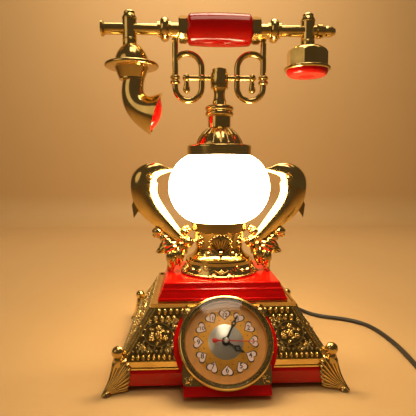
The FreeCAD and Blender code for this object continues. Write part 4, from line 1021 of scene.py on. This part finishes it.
eye = eye_motif()
dolphin_plan = [
    (eye, 79.5, 205.0, 0, 1.0, 11.2),
    (flower, 72.0, 139.5, 10, 1.8, 3.0), (flower, 64.0, 133.0, 40, 1.45, 4.0),
    (flower, 38.0, 143.0, 20, 1.4, 4.0), (flower, 35.5, 129.0, 0, 1.45, 4.4),
    (flower, 45.0, 134.0, 30, 1.2, 4.6),
    (round_leaf, 47.0, 128.0, -113, 1.45, 2.4), (round_leaf, 46.5, 124.0, -178, 1.25, 2.0),
    (round_leaf, 56.5, 122.0, 176, 1.35, 2.6),
    (round_leaf, 45.0, 131.0, 168, 0.8, 3.6), (round_leaf, 56.0, 133.0, -128, 0.9, 3.4),
    (big_leaf, 66.0, 138.0, -70, 1.2, 2.4), (big_leaf, 46.0, 138.0, 40, 1.0, 3.4),
]
for name, hand in (("right", 1), ("left", -1)):
    copies = []
    for face in (-1, 1):
        to_front = Matrix(((1, 0, 0, 0), (0, 0, face, column_y), (0, 1, 0, 0), (0, 0, 0, 1)))
        to_side = Matrix.Diagonal((hand, 1, 1, 1))
        for motif, x, z, turn, size, out in dolphin_plan:
            copies.append(copy_of(motif, to_side @ to_front @ at(x, z, turn, size, out)))
    ornaments = one_piece(copies, "dolphin_ornaments_" + name)
    belongs(ornaments, gold, "base")
    print(ornaments.name, len(ornaments.data.polygons))

for spare in motifs + [round_leaf, eye]:
    bpy.data.objects.remove(spare)

# %% [markdown]
# The feet are scallop shells. Fine ribs fan out from the toe, each a thin tube that swells on its way and
# then folds in against the base. Their ends follow one rim: along the top under the ball, then down beside
# the plinth. The plan of the rim says how far along the plinth, how far out of it and how high each rib ends.

# %% Ribs of a shell foot
plinth_low, plinth_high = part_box("plinth")
plinth_corner = (plinth_high[0] / mm, plinth_low[1] / mm)
foot_low, foot_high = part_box("foot_front_right")
toe_inset = 1.9
toe = Vector((foot_high[0] / mm - toe_inset, foot_low[1] / mm + toe_inset, toe_inset))
fold_depth = 4.5
rib_radii = (1.0, 0.95, 1.75, 2.5, 1.8)
rim_plan = [
    (-0.5, -0.4, 30.6), (4.2, -1.0, 30.6), (8.8, -0.9, 29.2), (12.0, -0.2, 25.8), (13.2, 0.4, 21.2),
    (13.4, 0.6, 16.2), (13.0, 0.6, 11.2), (12.0, 0.6, 6.2), (10.6, 0.6, 2.6),
]


def shell_rib(along, out, height, face):
    """One rib on the front face (0) or on the side face (1) of the corner."""
    def spot(out):
        if face == 0:
            return Vector((plinth_corner[0] - along, plinth_corner[1] - out, height))
        return Vector((plinth_corner[0] + out, plinth_corner[1] + along, height))

    rim, fold = spot(out), spot(out - fold_depth)
    dip = Vector((-1.4, 1.4, -0.05 * height))
    path = [toe, toe.lerp(rim, 0.36) + dip, toe.lerp(rim, 0.72) + 0.6 * dip, rim, fold]
    tube = spline_curve("rib", [p * mm for p in path], [r * mm for r in rib_radii])
    tube.data.resolution_u = 3
    tube.data.bevel_resolution = 2
    make_active(tube)
    bpy.ops.object.convert(target="MESH")
    return bpy.context.object


print("ribs in a foot", 2 * len(rim_plan))

# %% [markdown]
# Turned work, such as a ball's seat or a hub, is a profile taken round an axis. Here a filled circle is
# pulled along the axis step by step, and each step is made wider or narrower, as a turner works along a rod.

# %% Turned work


def pull_on(rise, grow, centre):
    """In edit mode, extrudes the selected face along Z and draws it out or in about a centre."""
    bpy.ops.mesh.extrude_region_move(TRANSFORM_OT_translate={"value": (0, 0, rise)})
    bpy.ops.transform.resize(value=(*grow, 1), center_override=centre)


def turned(name, profile, vertices=32):
    """A turned piece about Z, from a list of radii and heights in millimetres."""
    deselect()
    first_radius, first_height = profile[0]
    bpy.ops.mesh.primitive_circle_add(
        vertices=vertices, radius=first_radius * mm, fill_type="NGON", location=(0, 0, first_height * mm)
    )
    piece = bpy.context.object
    piece.name = name
    apply_place()
    edit_whole()
    for (radius, height), (next_radius, next_height) in zip(profile, profile[1:]):
        grow = next_radius / radius
        pull_on((next_height - height) * mm, (grow, grow), (0, 0, next_height * mm))
    bpy.ops.object.mode_set(mode="OBJECT")
    return piece


ball_low, ball_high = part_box("corner_balls")
ball_radius = (ball_high[2] - ball_low[2]) / 2
seat_profile = [(4.8, 25.0), (4.4, 31.0), (3.4, ball_low[2] / mm + 0.8)]
print("ball seat top at", round(seat_profile[-1][1], 2))

# %% [markdown]
# One foot is made for the front right corner: the ribs on both faces, the seat of the ball above them
# and a low round heel. The other three are its mirror images about the middle of the lamp.

# %% Shell feet
heel_inset = 3.5
foot_copies = []
for face in (0, 1):
    for along, out, height in rim_plan:
        foot_copies.append(shell_rib(along, out, height, face))
seat = turned("ball_seat", seat_profile, 24)
seat.matrix_world = Matrix.Translation((ball_high[0] - ball_radius, ball_low[1] + ball_radius, 0))
heel = half_ball("heel", 10.0 * mm, 10.0 * mm, 5.0 * mm, 12)
heel.matrix_world = Matrix.Translation(((toe.x - heel_inset) * mm, (toe.y + heel_inset) * mm, 0))
first_foot = one_piece(foot_copies + [seat, heel], "shell_foot")
to_middle = Matrix.Translation((0, -column_y, 0))
corner_turn = {"front_right": (1, 1), "front_left": (-1, 1), "back_right": (1, -1), "back_left": (-1, -1)}
for name, (side, end) in corner_turn.items():
    mirror = Matrix.Translation((0, column_y, 0)) @ Matrix.Diagonal((side, end, 1, 1)) @ to_middle
    foot = one_piece([copy_of(first_foot, mirror)], "shell_foot_" + name)
    belongs(foot, gold, "base")
    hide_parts("foot_" + name)
print("shell foot faces", len(first_foot.data.polygons))
bpy.data.objects.remove(first_foot)

# %% [markdown]
# The red cap is a moulding: a lip at the foot, a long hollow slope, a ridge, a leaning band and a rounded
# top edge. It is pulled up step by step from a plane, as turned work is from a circle. Each step of its
# profile gives how far the sides have drawn in and how high they stand, in millimetres.

# %% Moulded cap
cap_profile = [
    (0.0, 0.0), (0.0, 2.0), (0.3, 2.5), (1.0, 2.7), (1.3, 3.4), (1.8, 5.0), (2.5, 7.0), (3.4, 8.9),
    (3.8, 9.8), (3.8, 11.0), (4.1, 11.5), (4.9, 11.7), (5.2, 12.3), (5.7, 14.2), (6.2, 16.2),
    (6.5, 17.3), (7.2, 17.9), (8.4, 18.0),
]
cap_low, cap_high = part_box("stepped_cap")
cap_middle = (cap_low + cap_high) / 2
cap_side = (cap_high - cap_low) / mm
deselect()
bpy.ops.mesh.primitive_plane_add(size=1, location=(cap_middle.x, cap_middle.y, cap_low.z))
cap_moulding = bpy.context.object
cap_moulding.scale = (cap_side.x * mm, cap_side.y * mm, 1)
apply_place()
edit_whole()
for (inset, height), (next_inset, next_height) in zip(cap_profile, cap_profile[1:]):
    grow = [(side - 2 * next_inset) / (side - 2 * inset) for side in (cap_side.x, cap_side.y)]
    centre = (cap_middle.x, cap_middle.y, cap_low.z + next_height * mm)
    pull_on((next_height - height) * mm, grow, centre)
bpy.ops.object.mode_set(mode="OBJECT")
cap_moulding = one_piece([cap_moulding], "cap_moulding")
belongs(cap_moulding, red, "base")
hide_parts("stepped_cap")
print("cap moulding faces", len(cap_moulding.data.polygons))

# %% [markdown]
# The handset's two hubs are turned work. Each gets a sleeve with a flared top and a ring below,
# and the ear end of the rod gets a stepped tip. The heights of the sleeve's profile were drawn for
# a hub that ends at the drawn top, and are moved to where the frame's hub ends.

# %% Hub sleeves and rod tip
drawn_top = 391.0
sleeve_profile = [
    (5.6, 387.0), (7.0, 384.4), (8.4, 381.6), (8.4, 380.6), (7.4, 380.0), (7.4, 359.6), (8.1, 359.0),
    (8.1, 357.6), (6.8, 356.8), (6.6, 351.0),
]
tip_profile = [
    (5.0, 110.5), (8.0, 111.4), (8.0, 113.4), (6.4, 114.0), (6.4, 115.2), (7.4, 115.8), (7.2, 118.0),
    (5.0, 123.0), (3.8, 126.6), (4.4, 127.4), (4.4, 131.0), (3.6, 132.2),
]
hub_low, hub_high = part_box("mouth_hub")
hub_radius = (hub_high[0] - hub_low[0]) / 2
hub_top = hub_high[2] / mm
sleeves = []
for name in ("mouth_hub", "ear_hub"):
    sleeve = turned(name + "_sleeve", [(r, z + hub_top - drawn_top) for r, z in sleeve_profile])
    sleeve.matrix_world = Matrix.Translation((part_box(name)[0][0] + hub_radius, column_y, 0))
    sleeves.append(sleeve)
tip = turned("rod_tip", tip_profile)
rod_z = (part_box("handset_tube")[0][2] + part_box("handset_tube")[1][2]) / 2
tip.matrix_world = Matrix.Translation((0, column_y, rod_z)) @ Matrix.Rotation(math.pi / 2, 4, "Y")
hub_sleeves = one_piece(sleeves + [tip], "hub_sleeves")
belongs(hub_sleeves, gold, "handset")
print("hub sleeve faces", len(hub_sleeves.data.polygons))
